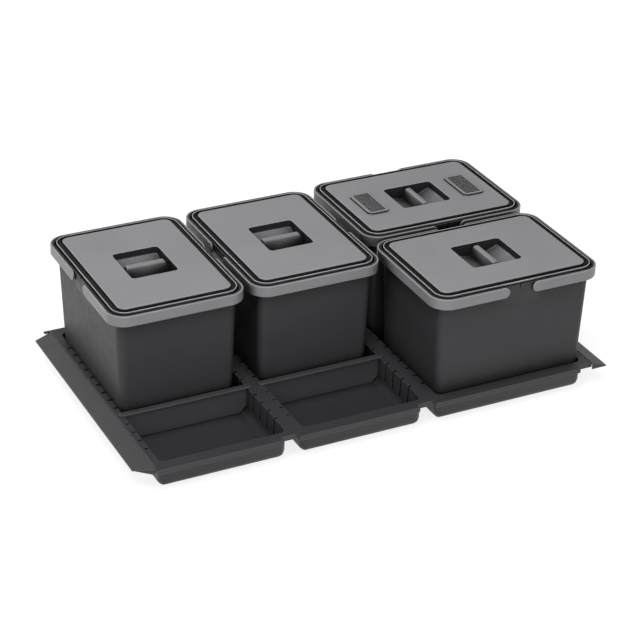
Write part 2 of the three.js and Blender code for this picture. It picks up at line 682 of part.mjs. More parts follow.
// One comb: a bar behind the wall, and the slots cut in it.
function combWall(comb) {
  const front = slotY(0) - SLOT_WIDTH / 2 - SLOT_WALL;
  const back = slotY(SLOT_COUNT - 1) + SLOT_WIDTH / 2 + SLOT_WALL;
  return combBox(
    comb, (front + back) / 2, (back - front) / 2, SLOT_REACH + SLOT_WALL, 0,
    SLOT_BOTTOM + TUB_FILLET - SLOT_WALL, FLANGE_TOP - FLANGE_THICK / 2,
  );
}

function combSlots(comb) {
  const slots = [];
  for (let i = 0; i < SLOT_COUNT; i += 1) {
    slots.push(
      combBox(comb, slotY(i), SLOT_WIDTH / 2, SLOT_REACH, EASE, SLOT_BOTTOM + TUB_FILLET, FLANGE_TOP + EASE),
    );
  }
  return slots;
}

// The flange's outline, with an ear at each back corner.
function flangePlate() {
  const front = TUB_FRONT - RAIL_FRONT;
  const ear = CREASE + EAR_REACH;
  const earFront = FLANGE_BACK - EAR_DEPTH;
  const outline = [
    [-CREASE, front],
    [CREASE, front],
    [CREASE, earFront],
    [ear, earFront],
    [ear, FLANGE_BACK],
    [-ear, FLANGE_BACK],
    [-ear, earFront],
    [-CREASE, earFront],
  ];
  return prism(outline, FLANGE_UNDER, FLANGE_TOP, "z");
}

// The down-turned edge along the fronts of the rails.
function railLip() {
  const front = TUB_FRONT - RAIL_FRONT;
  return box(-CREASE, CREASE, front, front + LIP_WALL, FLANGE_TOP - RAIL_LIP_DROP, FLANGE_TOP);
}

// The lip that stands forward over a tub's front wall.
function frontLip(tub) {
  const x0 = tub.x0 - FRONT_LIP_SHIFT;
  const x1 = tub.x1 - FRONT_LIP_SHIFT;
  const front = TUB_FRONT - FRONT_LIP;
  return box(x0, x1, front, TUB_FRONT - TUB_WALL / 2, FLANGE_UNDER, FLANGE_TOP).add(
    box(x0, x1, front, front + LIP_WALL, FLANGE_TOP - FRONT_LIP_DROP, FLANGE_TOP),
  );
}

// A wing's slope in (x, z), on the side given by -1 or 1.
function wing(side) {
  const tip = CREASE + WING_WIDTH;
  const inside = CREASE - WING_THICK;
  const profile = [
    [inside, FLANGE_TOP],
    [CREASE, FLANGE_TOP],
    [tip, FLANGE_TOP - WING_DROP],
    [tip, FLANGE_TOP - WING_DROP - WING_THICK],
    [CREASE, FLANGE_TOP - WING_THICK],
    [inside, FLANGE_TOP - WING_THICK],
  ].map(([x, z]) => [side * x, z]);
  return prism(profile, TUB_FRONT - WING_FRONT, FLANGE_BACK - WING_BACK_SHORT, "y");
}

// The upright web that closes the front end of a wing; `from` and `to` are its ends in plan.
function gusset(from, to) {
  const length = Math.hypot(to[0] - from[0], to[1] - from[1]);
  const web = new THREE.Shape([
    new THREE.Vector2(0, FLANGE_TOP - WING_THICK / 2),
    new THREE.Vector2(0, FLANGE_TOP - WING_DROP - WING_THICK),
    new THREE.Vector2(length, FLANGE_TOP - WING_DROP - WING_THICK),
    new THREE.Vector2(length, FLANGE_TOP - WING_DROP - WING_THICK / 2),
  ]);
  const shape = new THREE.ExtrudeGeometry(web, { depth: GUSSET_THICK, bevelEnabled: false });
  shape.rotateX(Math.PI / 2);
  shape.rotateZ(Math.atan2(to[1] - from[1], to[0] - from[0]));
  return solid(shape.translate(from[0], from[1], 0));
}

function creaseGroove(side) {
  const middle = CREASE - CREASE_GROOVE_INSET;
  const half = CREASE_GROOVE_WIDTH / 2;
  const profile = [
    [middle - half, FLANGE_TOP + EASE / 4],
    [middle, FLANGE_TOP - CREASE_GROOVE_DEPTH],
    [middle + half, FLANGE_TOP + EASE / 4],
  ].map(([x, z]) => [side * x, z]);
  return prism(profile, TUB_FRONT - RAIL_FRONT - EASE, FLANGE_BACK + EASE, "y");
}

function baseTray() {
  const wingFront = TUB_FRONT - WING_FRONT;
  const tip = CREASE + WING_WIDTH;
  let tray = flangePlate().add(railLip());
  for (const side of [-1, 1]) tray = tray.add(wing(side));
  const cutCorner = prism(
    [
      [-tip - EASE, wingFront + WING_CUT],
      [-tip - EASE, wingFront - EASE],
      [-CREASE, wingFront - EASE],
      [-CREASE, wingFront],
      [-tip, wingFront + WING_CUT],
    ],
    0, FLANGE_TOP + EASE, "z",
  );
  tray = tray
    .subtract(cutCorner)
    .add(gusset([CREASE, wingFront + GUSSET_THICK], [tip, wingFront + GUSSET_THICK]))
    .add(gusset([-CREASE, wingFront + GUSSET_THICK], [-tip, wingFront + WING_CUT + GUSSET_THICK]));
  for (const tub of TUBS) {
    tray = tray.add(tubShape(tub, TUB_WALL, FLANGE_TOP - FLANGE_THICK / 2)).add(frontLip(tub));
  }
  for (const comb of COMBS) tray = tray.add(combWall(comb));
  for (const tub of TUBS) tray = tray.subtract(tubShape(tub, 0, FLANGE_TOP + EASE));
  for (const comb of COMBS) {
    for (const slot of combSlots(comb)) tray = tray.subtract(slot);
  }
  for (const side of [-1, 1]) tray = tray.subtract(creaseGroove(side));
  return tray;
}

// ---------------------------------------------------------------- dividers

const DIVIDER_Y = slotY(DIVIDER_SLOT);

// A plate that stands between two facing slots, under a flat cap that lies on the flange.
function divider(tub) {
  const middle = (tub.x0 + tub.x1) / 2;
  const halfTub = (tub.x1 - tub.x0) / 2;
  const halfPlate = halfTub + SLOT_REACH - DIVIDER_END_GAP;
  const halfCap = halfTub + SLOT_REACH + CAP_OVERHANG;
  const capBottom = FLANGE_TOP + SEAT_GAP;
  const foot = TUB_FLOOR + DIVIDER_FOOT_GAP;
  const shoulder = SLOT_BOTTOM + TUB_FILLET + DIVIDER_END_GAP;
  const halfFoot = halfTub - TUB_TAPER - TUB_FILLET;
  const halfNeck = halfTub - TUB_TAPER - DIVIDER_END_GAP;
  const plate = prism(
    [
      [middle - halfFoot, foot],
      [middle + halfFoot, foot],
      [middle + halfNeck, shoulder],
      [middle + halfPlate, shoulder],
      [middle + halfPlate, capBottom + CAP_THICK / 2],
      [middle - halfPlate, capBottom + CAP_THICK / 2],
      [middle - halfPlate, shoulder],
      [middle - halfNeck, shoulder],
    ],
    DIVIDER_Y - DIVIDER_THICK / 2, DIVIDER_Y + DIVIDER_THICK / 2, "y",
  );
  const half = { x: halfCap, y: CAP_WIDTH / 2, r: CAP_CORNER };
  const small = { x: halfCap - CAP_ROUND, y: CAP_WIDTH / 2 - CAP_ROUND, r: CAP_CORNER - CAP_ROUND };
  const cap = loft([
    { ...half, z: capBottom },
    { ...half, z: capBottom + CAP_THICK - CAP_ROUND },
    { ...small, z: capBottom + CAP_THICK },
  ]).translate([middle, DIVIDER_Y, 0]);
  return plate.add(cap);
}

// ---------------------------------------------------------------- assembly

const DIVIDER_FACE = DIVIDER_Y + CAP_WIDTH / 2;
const ROW_Y = DIVIDER_FACE + BIN_DIVIDER_GAP + BIN_LONG_AT_FLANGE;
const FRONT_RIGHT_Y = TUB_FRONT + FRONT_BIN_GAP + BIN_HALF_AT_FLANGE;
const BINS = [
  {
    name: "left_bin", ends: ["front", "back"], turn: 0, vented: false,
    x: LEFT_TUB.x0 + BIN_SIDE_GAP + BIN_HALF_AT_FLANGE, y: ROW_Y,
  },
  {
    name: "middle_bin", ends: ["front", "back"], turn: 0, vented: false,
    x: MIDDLE_TUB.x0 + BIN_SIDE_GAP + BIN_HALF_AT_FLANGE, y: ROW_Y,
  },
  {
    name: "rear_right_bin", ends: ["right", "left"], turn: Math.PI / 2, vented: true,
    x: RIGHT_TUB.x0 + REAR_BIN_SIDE_GAP + BIN_LONG_AT_FLANGE,
    y: FRONT_RIGHT_Y + 2 * HANDLE_OUTER + ROW_GAP,
  },
  {
    name: "front_right_bin", ends: ["right", "left"], turn: Math.PI / 2, vented: false,
    x: RIGHT_TUB.x0 + BIN_SIDE_GAP + BIN_LONG_AT_FLANGE, y: FRONT_RIGHT_Y,
  },
];

// One bin with everything that it carries, standing at the origin of its own group.
function binGroup(bin) {
  const group = new THREE.Group();
  group.add(piece(bin.name + "_body", binBody(), COLOURS.body));
  [-1, 1].forEach((end, i) => {
    group.add(piece(bin.name + "_" + bin.ends[i] + "_handle", bailHandle(end), COLOURS.handle));
  });
  group.add(piece(bin.name + "_lid", bin.vented ? ventedLid() : plainLid(), COLOURS.lid));
  group.add(piece(bin.name + "_lid_strip", lidStrip(), COLOURS.strip));
  if (bin.vented) {
    [-1, 1].forEach((end, i) => {
      group.add(piece(bin.ends[i] + "_vent_grille", ventGrille(end), COLOURS.grille));
      group.add(piece(bin.ends[i] + "_filter_pad", filterPad(end), COLOURS.filter));
    });
  }
  group.rotation.z = bin.turn;
  group.position.set(bin.x, bin.y, BIN_BASE);
  return group;
}

const set = new THREE.Group();
set.add(piece("base_tray", baseTray(), COLOURS.tray));
set.add(piece("left_divider", divider(LEFT_TUB), COLOURS.divider));
set.add(piece("middle_divider", divider(MIDDLE_TUB), COLOURS.divider));
for (const bin of BINS) set.add(binGroup(bin));

export default set;
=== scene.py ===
# %% [markdown]
# # A waste-sorting set for a kitchen drawer
# A wide base tray of dark plastic lies in the drawer. It holds two slot-in dividers and four bins. Each bin
# has a pair of bail handles folded round its rim and a pale lid with a finger cup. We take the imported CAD
# model as a fixed frame, and give every piece a finer surface and a finish of its own. Everything is in the
# frame's own coordinates: metres, +X to the right along the drawer front, +Y to its back, +Z up.

# %% Load the frame
import math

import bmesh
import bpy
import numpy as np
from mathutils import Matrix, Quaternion, Vector


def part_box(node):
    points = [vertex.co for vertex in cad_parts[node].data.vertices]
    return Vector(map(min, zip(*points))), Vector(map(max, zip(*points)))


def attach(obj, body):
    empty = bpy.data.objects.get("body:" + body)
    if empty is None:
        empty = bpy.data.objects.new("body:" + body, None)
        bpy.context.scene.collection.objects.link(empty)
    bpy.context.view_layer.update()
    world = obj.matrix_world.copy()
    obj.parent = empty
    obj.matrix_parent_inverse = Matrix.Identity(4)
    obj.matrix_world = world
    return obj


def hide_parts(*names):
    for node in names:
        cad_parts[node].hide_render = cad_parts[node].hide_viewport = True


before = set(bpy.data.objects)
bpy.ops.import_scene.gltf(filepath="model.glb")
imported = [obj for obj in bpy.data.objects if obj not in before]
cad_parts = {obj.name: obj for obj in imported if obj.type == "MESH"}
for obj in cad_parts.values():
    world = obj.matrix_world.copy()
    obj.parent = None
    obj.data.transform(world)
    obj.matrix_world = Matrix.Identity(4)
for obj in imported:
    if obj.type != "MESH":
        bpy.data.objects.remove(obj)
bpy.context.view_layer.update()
MM = 0.001


def add_object(name, data):
    """An object of the scene that shows a mesh, a camera or a lamp."""
    thing = bpy.data.objects.new(name, data)
    bpy.context.scene.collection.objects.link(thing)
    return thing


# %% [markdown]
# ## Camera
# The set is seen from its front left corner and from above, through a long lens, so its parallel edges stay
# nearly parallel. A camera can be placed by hand, or tracked to an empty. Here the eye and the point that it
# looks at are written down, and the small lean of the picture is a turn about the camera's own axis.

# %% Camera
CAMERA_EYE = Vector((-1350.5, -2657.5, 1743.5)) * MM
CAMERA_TARGET = Vector((-107.3, -212.1, 230.3)) * MM
CAMERA_LEAN = math.radians(1.45)
LENS, SENSOR_WIDTH = 116.1, 36  # millimetres
CLIP_END = 50  # metres

camera_data = bpy.data.cameras.new("camera")
camera_data.lens = LENS
camera_data.sensor_width = SENSOR_WIDTH
camera_data.clip_end = CLIP_END
camera = add_object("camera", camera_data)
camera.rotation_mode = "QUATERNION"
camera.location = CAMERA_EYE
camera.rotation_quaternion = (CAMERA_TARGET - CAMERA_EYE).to_track_quat("-Z", "Y") @ Quaternion(
    (0, 0, 1), CAMERA_LEAN
)
bpy.context.scene.camera = camera
print("camera distance", round((CAMERA_TARGET - CAMERA_EYE).length, 3), "m")

# %% [markdown]
# ## From arrays to meshes
# Almost every piece here is a profile carried round a rounded rectangle: bins, lids, soft strips, tray tubs.
# Such a surface is a grid of points, one row for each point of the profile and one column for each place
# round the plan. The grid can be worked out at once as an array, so changing one size changes every row that
# uses it. Modelling it by extruding and scaling loops by hand gives the same faces, but not the same
# freedom. The next cells make the rounded rectangle, soften the profile's corners, and turn a grid into a
# mesh.

# %% A rounded rectangle
CORNER_STEPS = 14  # points in each quarter round
SIDE_STEPS = 9  # points between two corners


def outline(half_x, half_y, corner, corner_steps=CORNER_STEPS, side_steps=SIDE_STEPS):
    """Points of a rounded rectangle, counterclockwise from above, for arrays of sizes of shape (rows,).

    Each quarter round is its own centre plus the corner radius times (cos a, sin a). Each side is a straight
    mix of the two corner points that it joins. Returns an array of shape (rows, points, 2)."""
    half_x, half_y, corner = (np.atleast_1d(np.asarray(v, float)) for v in (half_x, half_y, corner))
    corner = np.minimum(corner, np.minimum(half_x, half_y))
    sign = np.array([[1, 1], [-1, 1], [-1, -1], [1, -1]], float)
    angle = (np.arange(4)[:, None] + np.linspace(0, 1, corner_steps + 1)) * math.pi / 2
    middle = sign * np.stack([half_x - corner, half_y - corner], -1)[:, None, :]
    arc = middle[:, :, None, :] + corner[:, None, None, None] * np.stack([np.cos(angle), np.sin(angle)], -1)
    # places along each side, close to its ends first so that flat faces keep flat shading
    share = np.concatenate([[0.02], np.linspace(0.1, 0.9, side_steps - 2), [0.98]])
    start, end = arc[:, :, -1:, :], np.roll(arc[:, :, :1, :], -1, axis=1)
    side = start + (end - start) * share[:, None]
    return np.concatenate([arc, side], 2).reshape(len(half_x), -1, 2)


# %% A profile with soft corners
SIDE_SHARE = 0.42  # the most of a side that one corner may take
LEAD_SHARE = 0.15  # how far outside a curve its extra point lies, as a share of the setback


def round_corners(point, setback, steps=5):
    """A polyline whose inner corners are rounded, each by its own setback.

    A corner V is replaced by the curve (1 - t)^2 A + 2t(1 - t) V + t^2 B, where A and B lie the setback
    before and after V. One more point lies outside A and B, so that the flat parts between two
    corners stay flat when they are shaded smooth."""
    step = np.diff(point, axis=0)
    length = np.maximum(np.linalg.norm(step, axis=1), 1e-9)
    unit = step / length[:, None]
    reach = np.minimum(setback, SIDE_SHARE * np.minimum(length[:-1], length[1:]))[:, None]
    before, after = point[1:-1] - reach * unit[:-1], point[1:-1] + reach * unit[1:]
    t = np.linspace(0, 1, steps + 1)[None, :, None]
    bend = (1 - t) ** 2 * before[:, None] + 2 * t * (1 - t) * point[1:-1, None] + t**2 * after[:, None]
    lead = (before - LEAD_SHARE * reach * unit[:-1])[:, None]
    trail = (after + LEAD_SHARE * reach * unit[1:])[:, None]
    rounded = np.concatenate([lead, bend, trail], 1).reshape(-1, point.shape[1])
    return np.concatenate([point[:1], rounded, point[-1:]])


def soften(rows, steps=5):
    """Rounds a profile whose last column is each corner's setback, and drops points that coincide."""
    rows = np.asarray(rows, float)
    softened = round_corners(rows[:, :-1], rows[1:-1, -1], steps)
    moved = np.linalg.norm(np.diff(softened, axis=0), axis=1) > 1e-6
    return softened[np.concatenate([[True], moved])]


# %% From a grid to faces
def lifted(ring, z):
    """Rings in plan as rings in space: each row at its own height."""
    height = np.broadcast_to(np.asarray(z, float)[:, None, None], (*ring.shape[:2], 1))
    return np.concatenate([ring, height], -1)


def grid_faces(rows, columns, closed_rows=False):
    """Quads between the points of a grid whose columns run round; rows too if `closed_rows`."""
    last = rows if closed_rows else rows - 1
    row, column = np.meshgrid(np.arange(last), np.arange(columns), indexing="ij")
    here, above = row * columns, ((row + 1) % rows) * columns
    beside = (column + 1) % columns
    quads = np.stack([here + column, here + beside, above + beside, above + column], -1)
    return quads.reshape(-1, 4).tolist()


def skin(rings, closed_rows=False, caps=True):
    """A grid of points of shape (rows, columns, 3) as points and faces, with flat end caps."""
    rows, columns = rings.shape[:2]
    faces = grid_faces(rows, columns, closed_rows)
    if caps and not closed_rows:
        faces += [list(range(columns))[::-1], [(rows - 1) * columns + i for i in range(columns)]]
    return rings.reshape(-1, 3), faces


def merged(parts):
    """Several (points, faces) pairs as one."""
    start, points, faces = 0, [], []
    for part_points, part_faces in parts:
        points.append(part_points)
        faces += [[i + start for i in face] for face in part_faces]
        start += len(part_points)
    return np.concatenate(points), faces


SHARP = math.radians(32)  # an edge that turns by more than this stays sharp in the shading
SAME_POINT = 2e-6  # metres; points closer than this are one


def mesh_of(name, parts):
    """A Blender mesh from one or more (points, faces) pairs in millimetres."""
    points, faces = merged(parts)
    mesh = bpy.data.meshes.new(name)
    mesh.from_pydata((points * MM).tolist(), [], faces)
    return mesh


def smooth(mesh):
    """Smooth shading but for sharp edges."""
    mesh.shade_smooth()
    mesh.set_sharp_from_angle(angle=SHARP)


def build(name, parts, body, material, replaces=()):
    """A piece of the set from one or more (points, faces) pairs in millimetres."""
    mesh = mesh_of(name, parts)
    shape = bmesh.new()
    shape.from_mesh(mesh)
    bmesh.ops.remove_doubles(shape, verts=shape.verts, dist=SAME_POINT)
    bmesh.ops.dissolve_degenerate(shape, edges=shape.edges, dist=SAME_POINT / 2)
    bmesh.ops.recalc_face_normals(shape, faces=shape.faces)
    shape.to_mesh(mesh)
    shape.free()
    smooth(mesh)
    piece = add_object(name, mesh)
    mesh.materials.append(material)
    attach(piece, body)
    if replaces:
        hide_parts(*replaces)
    return piece


def placed(part, bin_place):
    """Points of a bin's own frame at the place where that bin stands: turned about +Z, then moved."""
    points, faces = part
    x, y, z, turned = bin_place
    if turned:
        points = np.stack([-points[:, 1], points[:, 0], points[:, 2]], -1)
    return points + np.array([x, y, z]), faces


def cut(piece, parts):
    """Takes the parts away from the piece with a Boolean modifier, which is then applied."""
    cutter = add_object("cutter", mesh_of("cutter", parts))
    modifier = piece.modifiers.new("openings", "BOOLEAN")
    modifier.object, modifier.operation, modifier.solver = cutter, "DIFFERENCE", "EXACT"
    graph = bpy.context.evaluated_depsgraph_get()
    result = bpy.data.meshes.new_from_object(piece.evaluated_get(graph))
    piece.modifiers.remove(modifier)
    piece.data = result
    bpy.data.objects.remove(cutter)
    smooth(result)


# %% [markdown]
# ## Where the bins stand
# The bins' places are read from the frame: the middle of each body node's box, and its lowest point. The two
# right-hand bins are turned a quarter, so their long sides run along the drawer front.

# %% Bin places
BIN_NAMES = ["left_bin", "middle_bin", "rear_right_bin", "front_right_bin"]
VENTED = "rear_right_bin"


def bin_place(name):
    """(x, y, z, turned) of a bin, in millimetres, from its body node's box."""
    low, high = (np.array(corner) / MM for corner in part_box(name + "_body"))
    size = high - low
    return (low[0] + high[0]) / 2, (low[1] + high[1]) / 2, low[2], bool(size[0] > size[1])


PLACES = {name: bin_place(name) for name in BIN_NAMES}
ENDS = {name: ("right", "left") if PLACES[name][3] else ("front", "back") for name in BIN_NAMES}
print("bins stand at", {name: [round(float(v), 1) for v in PLACES[name][:3]] for name in BIN_NAMES})

# %% [markdown]
# ## Finishes
# All pieces are injection-moulded plastic, apart from the soft strip and the filter. Such plastic is not one
# flat colour: its skin has a fine spark-eroded grain, faint long flow marks, and slightly more gloss where
# the tool was polished. We make it from noise at four scales: the two finest drive the bump, the next one the
# roughness and the widest one a small change of colour. Each one reads Object coordinates, which here are the
# frame's own metres, so the grain has the same size on every piece. Shade is painted into the colour too: the
# shader measures how open a point is and darkens hollows by it, and paints a highlight on outer edges. The
# walls of the finger cups and of the grilles have a dark colour that is painted shade.

# %% Node helpers
def empty_tree(owner, output):
    """The cleared nodes of a material or a world, and the input of its new output node."""
    owner.use_nodes = True
    owner.node_tree.nodes.clear()
    return owner.node_tree, owner.node_tree.nodes.new(output).inputs["Surface"]


def new_material(name):
    """A material, its nodes and its Principled shader."""
    material = bpy.data.materials.new(name)
    tree, surface = empty_tree(material, "ShaderNodeOutputMaterial")
    shader = tree.nodes.new("ShaderNodeBsdfPrincipled")
    tree.links.new(shader.outputs["BSDF"], surface)
    return material, tree, shader


def noise(tree, scale, detail=2.0, stretch=(1, 1, 1)):
    """Noise on Object coordinates; `scale` is in waves per metre."""
    place = tree.nodes.new("ShaderNodeTexCoord")
    mapping = tree.nodes.new("ShaderNodeMapping")
    mapping.inputs["Scale"].default_value = stretch
    cloud = tree.nodes.new("ShaderNodeTexNoise")
    cloud.inputs["Scale"].default_value = scale
    cloud.inputs["Detail"].default_value = detail
    tree.links.new(place.outputs["Object"], mapping.inputs["Vector"])
    tree.links.new(mapping.outputs["Vector"], cloud.inputs["Vector"])
    return cloud.outputs["Fac"]


def ramp(tree, source, low, high, at=(0.35, 0.65)):
    """A two-stop ramp between two colours or two grey values."""
    node = tree.nodes.new("ShaderNodeValToRGB")
    for stop, place, value in zip(node.color_ramp.elements, at, (low, high)):
        stop.position = place
        stop.color = (*value, 1) if isinstance(value, tuple) else (value, value, value, 1)
    tree.links.new(source, node.inputs["Fac"])
    return node.outputs["Color"]


def bump(tree, shader, layers):
    """Bump layers laid over one another; each is (height, depth in metres, strength)."""
    normal = None
    for height, depth, strength in layers:
        node = tree.nodes.new("ShaderNodeBump")
        node.inputs["Distance"].default_value = depth
        node.inputs["Strength"].default_value = strength
        tree.links.new(height, node.inputs["Height"])
        if normal is not None:
            tree.links.new(normal, node.inputs["Normal"])
        normal = node.outputs["Normal"]
    tree.links.new(normal, shader.inputs["Normal"])


GREY_TINT = np.array([-0.2, -0.3, 2.0])  # the greys lean a little to blue: steps of red, green and blue


def linear(grey):
    """An sRGB grey of 0 to 255 as linear red, green and blue, with the set's faint tint."""
    tone = np.clip((grey + GREY_TINT) / 255, 0, 1)
    return tuple(float(v) for v in np.where(tone <= 0.04045, tone / 12.92, ((tone + 0.055) / 1.055) ** 2.4))


def calc(tree, operation, *values):
    """A Math node; each value is a number or another node's output."""
    node = tree.nodes.new("ShaderNodeMath")
    node.operation = operation
    for socket, value in zip(node.inputs, values):
        if isinstance(value, (int, float)):
            socket.default_value = value
        else:
            tree.links.new(value, socket)
    return node.outputs["Value"]


# %% Moulded plastic
def times(tree, colour, factor):
    """A colour multiplied by a number from a node."""
    mix = tree.nodes.new("ShaderNodeMix")
    mix.data_type, mix.blend_type = "RGBA", "MULTIPLY"
    mix.inputs["Factor"].default_value = 1.0
    colour_in = [i for i in mix.inputs if i.type == "RGBA"]
    tree.links.new(colour, colour_in[0])
    tree.links.new(factor, colour_in[1])
    return [o for o in mix.outputs if o.type == "RGBA"][0]


AO_SAMPLES = 8


def painted_crevice_shade(tree, colour, reach, darkest, at):
    """Painted shade: darkens a colour where the surface is shut in, by how much of its sky is free within
    `reach` metres, as shade falls in hollows and between parts."""
    free = tree.nodes.new("ShaderNodeAmbientOcclusion")
    free.samples = AO_SAMPLES
    free.inputs["Distance"].default_value = reach
    return times(tree, colour, ramp(tree, free.outputs["AO"], darkest, 1.0, at))


HIGHLIGHT_REACH = 0.0018  # metres; how near an edge a face has to be to get the painted highlight


def painted_edge_highlight(tree, colour, gain):
    """Painted highlight: lightens a colour at outer edges by 1 + gain (1 - o), where o is the open share of
    the inside nearby, for the thin line of light that an outer edge catches."""
    inside = tree.nodes.new("ShaderNodeAmbientOcclusion")
    inside.samples, inside.inside = AO_SAMPLES, True
    inside.inputs["Distance"].default_value = HIGHLIGHT_REACH
    return times(tree, colour, calc(tree, "MULTIPLY_ADD", inside.outputs["AO"], -gain, 1 + gain))


DRIFT, PATCHINESS = 0.015, 0.035  # how far the grey, as a share, and the roughness stray either way
DRIFT_WAVES, PATCH_WAVES, COARSE_WAVES, FINE_WAVES = 9.0, 65.0, 520.0, 1900.0  # per metre


def moulded_plastic(
    name, grey, roughness, grain=0.00002, specular=0.5, reach=0.014, darkest=0.2, at=(0.3, 0.72), edge=0.0
):
    """A plastic skin: fine grain in the bump, patchy gloss, a slow drift of its grey, painted shade in
    hollows and, where `edge` is set, a painted highlight along outer edges.
    """
    material, tree, shader = new_material(name)
    drift = noise(tree, DRIFT_WAVES, 2.0, (1, 1, 2.2))
    colour = ramp(tree, drift, linear(grey * (1 - DRIFT)), linear(grey * (1 + DRIFT)))
    # painted shade in hollows and between parts
    colour = painted_crevice_shade(tree, colour, reach, darkest, at)
    # a painted highlight along outer edges
    if edge:
        colour = painted_edge_highlight(tree, colour, edge)
    tree.links.new(colour, shader.inputs["Base Color"])
    patches = noise(tree, PATCH_WAVES, 4.0)
    gloss = ramp(tree, patches, roughness - PATCHINESS, roughness + PATCHINESS)
    tree.links.new(gloss, shader.inputs["Roughness"])
    shader.inputs["Specular IOR Level"].default_value = specular
    fine = noise(tree, FINE_WAVES, 2.0)
    coarse = noise(tree, COARSE_WAVES, 2.0)
    bump(tree, shader, [(coarse, grain * 1.6, 0.3), (fine, grain, 0.55)])
    return material


# reach, darkest and at set each finish's painted shade; edge sets its painted highlight on outer edges
TRAY = moulded_plastic(
    "tray plastic", 58, 0.4, 0.00003, specular=0.35, reach=0.03, darkest=0.15, at=(0.25, 0.8), edge=1.2
)
DIVIDER = moulded_plastic(
    "divider plastic", 64, 0.45, 0.00003, specular=0.25, reach=0.01, at=(0.2, 0.7), edge=1.4
)
# with a reach of 5 cm the painted shade also darkens the bins between one another and towards their feet
BODY = moulded_plastic(
    "bin plastic", 57, 0.48, specular=0.25, reach=0.05, darkest=0.05, at=(0.4, 0.97)
)
HANDLE = moulded_plastic(
    "handle plastic", 127, 0.36, reach=0.05, darkest=0.08, at=(0.45, 0.92), edge=1.6
)
LID = moulded_plastic(
    "lid plastic", 138, 0.4, 0.00003, specular=0.4, reach=0.012, darkest=0.05, at=(0.5, 0.8), edge=1.2
)
# a near-black colour on the upright walls of the finger cups and the grilles: painted shade
PAINTED_WALL_SHADE = moulded_plastic(
    "painted wall shade", 34, 0.5, 0.00003, specular=0.2, reach=0.02, darkest=0.3, at=(0.3, 0.8)
)
# the lid's grey a little darker, with deep painted shade: for the grip bar and the cup floors
GRIP_DEEP_SHADE = moulded_plastic(
    "grip plastic, deep painted shade", 128, 0.4, 0.00003, specular=0.4, reach=0.035, darkest=0.06, at=(0.4, 0.92), edge=0.5
)
GRILLE = moulded_plastic(
    "grille plastic", 136, 0.42, specular=0.3, reach=0.004, darkest=0.1, at=(0.5, 0.9)
)

# %% [markdown]
# The strip in the lid's groove is a soft black rubber, so it is rougher and hardly shines. The filter is
# a felt of black fibres: stretched noise in two directions gives the tangle of its surface, and some sheen
# gives its soft edge.

# %% Rubber and felt
RUBBER = moulded_plastic("strip rubber", 22, 0.6, specular=0.3)


def felt(name, grey):
    """Short fibres that cross one another: two stretched noises, as colour and as bump."""
    material, tree, shader = new_material(name)
    across = noise(tree, 700.0, 3.0, (1, 6, 1))
    along = noise(tree, 700.0, 3.0, (6, 1, 1))
    tangle = calc(tree, "MULTIPLY", across, along)
    colour = ramp(tree, tangle, linear(grey * 0.6), linear(grey * 1.5), (0.15, 0.4))
    tree.links.new(colour, shader.inputs["Base Color"])
    shader.inputs["Roughness"].default_value = 0.95
    shader.inputs["Sheen Weight"].default_value = 0.2
    bump(tree, shader, [(tangle, 0.0004, 0.8)])
    return material


FELT = felt("filter felt", 14)
print("finishes:", len(bpy.data.materials))

# %% [markdown]
# ## Bin body
# A bin is a bucket with a round bottom edge, walls that lean out a little, and a rim that turns outwards
# into a ledge for the lid. A low ridge stands on the ledge's outer edge, and a skirt hangs from it. In the
# middle of each long side the skirt runs down into a wedge, the cheek, that stiffens the handle pivots, and
# a small V is cut into its middle. The whole bucket is one profile carried round: out under the floor, up
# the outside, over the rim and down the inside. At the cheek we use a second profile with as many points
# and slide from one to the other.

# %% Sizes of the bin
LONG_EXTRA = 37.5  # half length less half width
BASE_HALF, WALL_SLOPE, BODY_CORNER = 95.1, 0.0279, 14.0
BODY_WALL, BODY_FLOOR, FOOT_FILLET = 2.2, 2.4, 12.0
BIN_HEIGHT = 225.0
LEDGE_TOP = BIN_HEIGHT - 8.3
LEDGE_UNDER = LEDGE_TOP - 2.2
RIM_HALF = BASE_HALF + WALL_SLOPE * LEDGE_UNDER + 8.6
RIM_CORNER, RIDGE_THICK, RIDGE_TOP = 26.8, 2.2, BIN_HEIGHT - 1.3
SKIRT_THICK, SKIRT_BOTTOM = 2.5, BIN_HEIGHT - 15.3
CHEEK_HALF, CHEEK_FOOT = 36.0, BIN_HEIGHT - 44.0
CHEEK_FADE = 14.0  # the wedge dies away into the wall from this far inside its ends to as far outside
NOTCH_HALF, NOTCH_DEPTH, NOTCH_HEIGHT = 1.2, 2.0, 12.5


def wall_half(z):
    """Half the bin's outer width at a height."""
    return BASE_HALF + WALL_SLOPE * z


def fillet_rows(half, bottom, radius, corner, steps=10):
    """A quarter round from a flat floor to an upright wall: in by r(1 - sin a), up by r(1 - cos a)."""
    angle = np.linspace(0, math.pi / 2, steps)
    back = radius * (1 - np.sin(angle))
    rise = bottom + radius * (1 - np.cos(angle))
    return np.stack([half - back, rise, np.maximum(corner - back, 2.0)], -1)


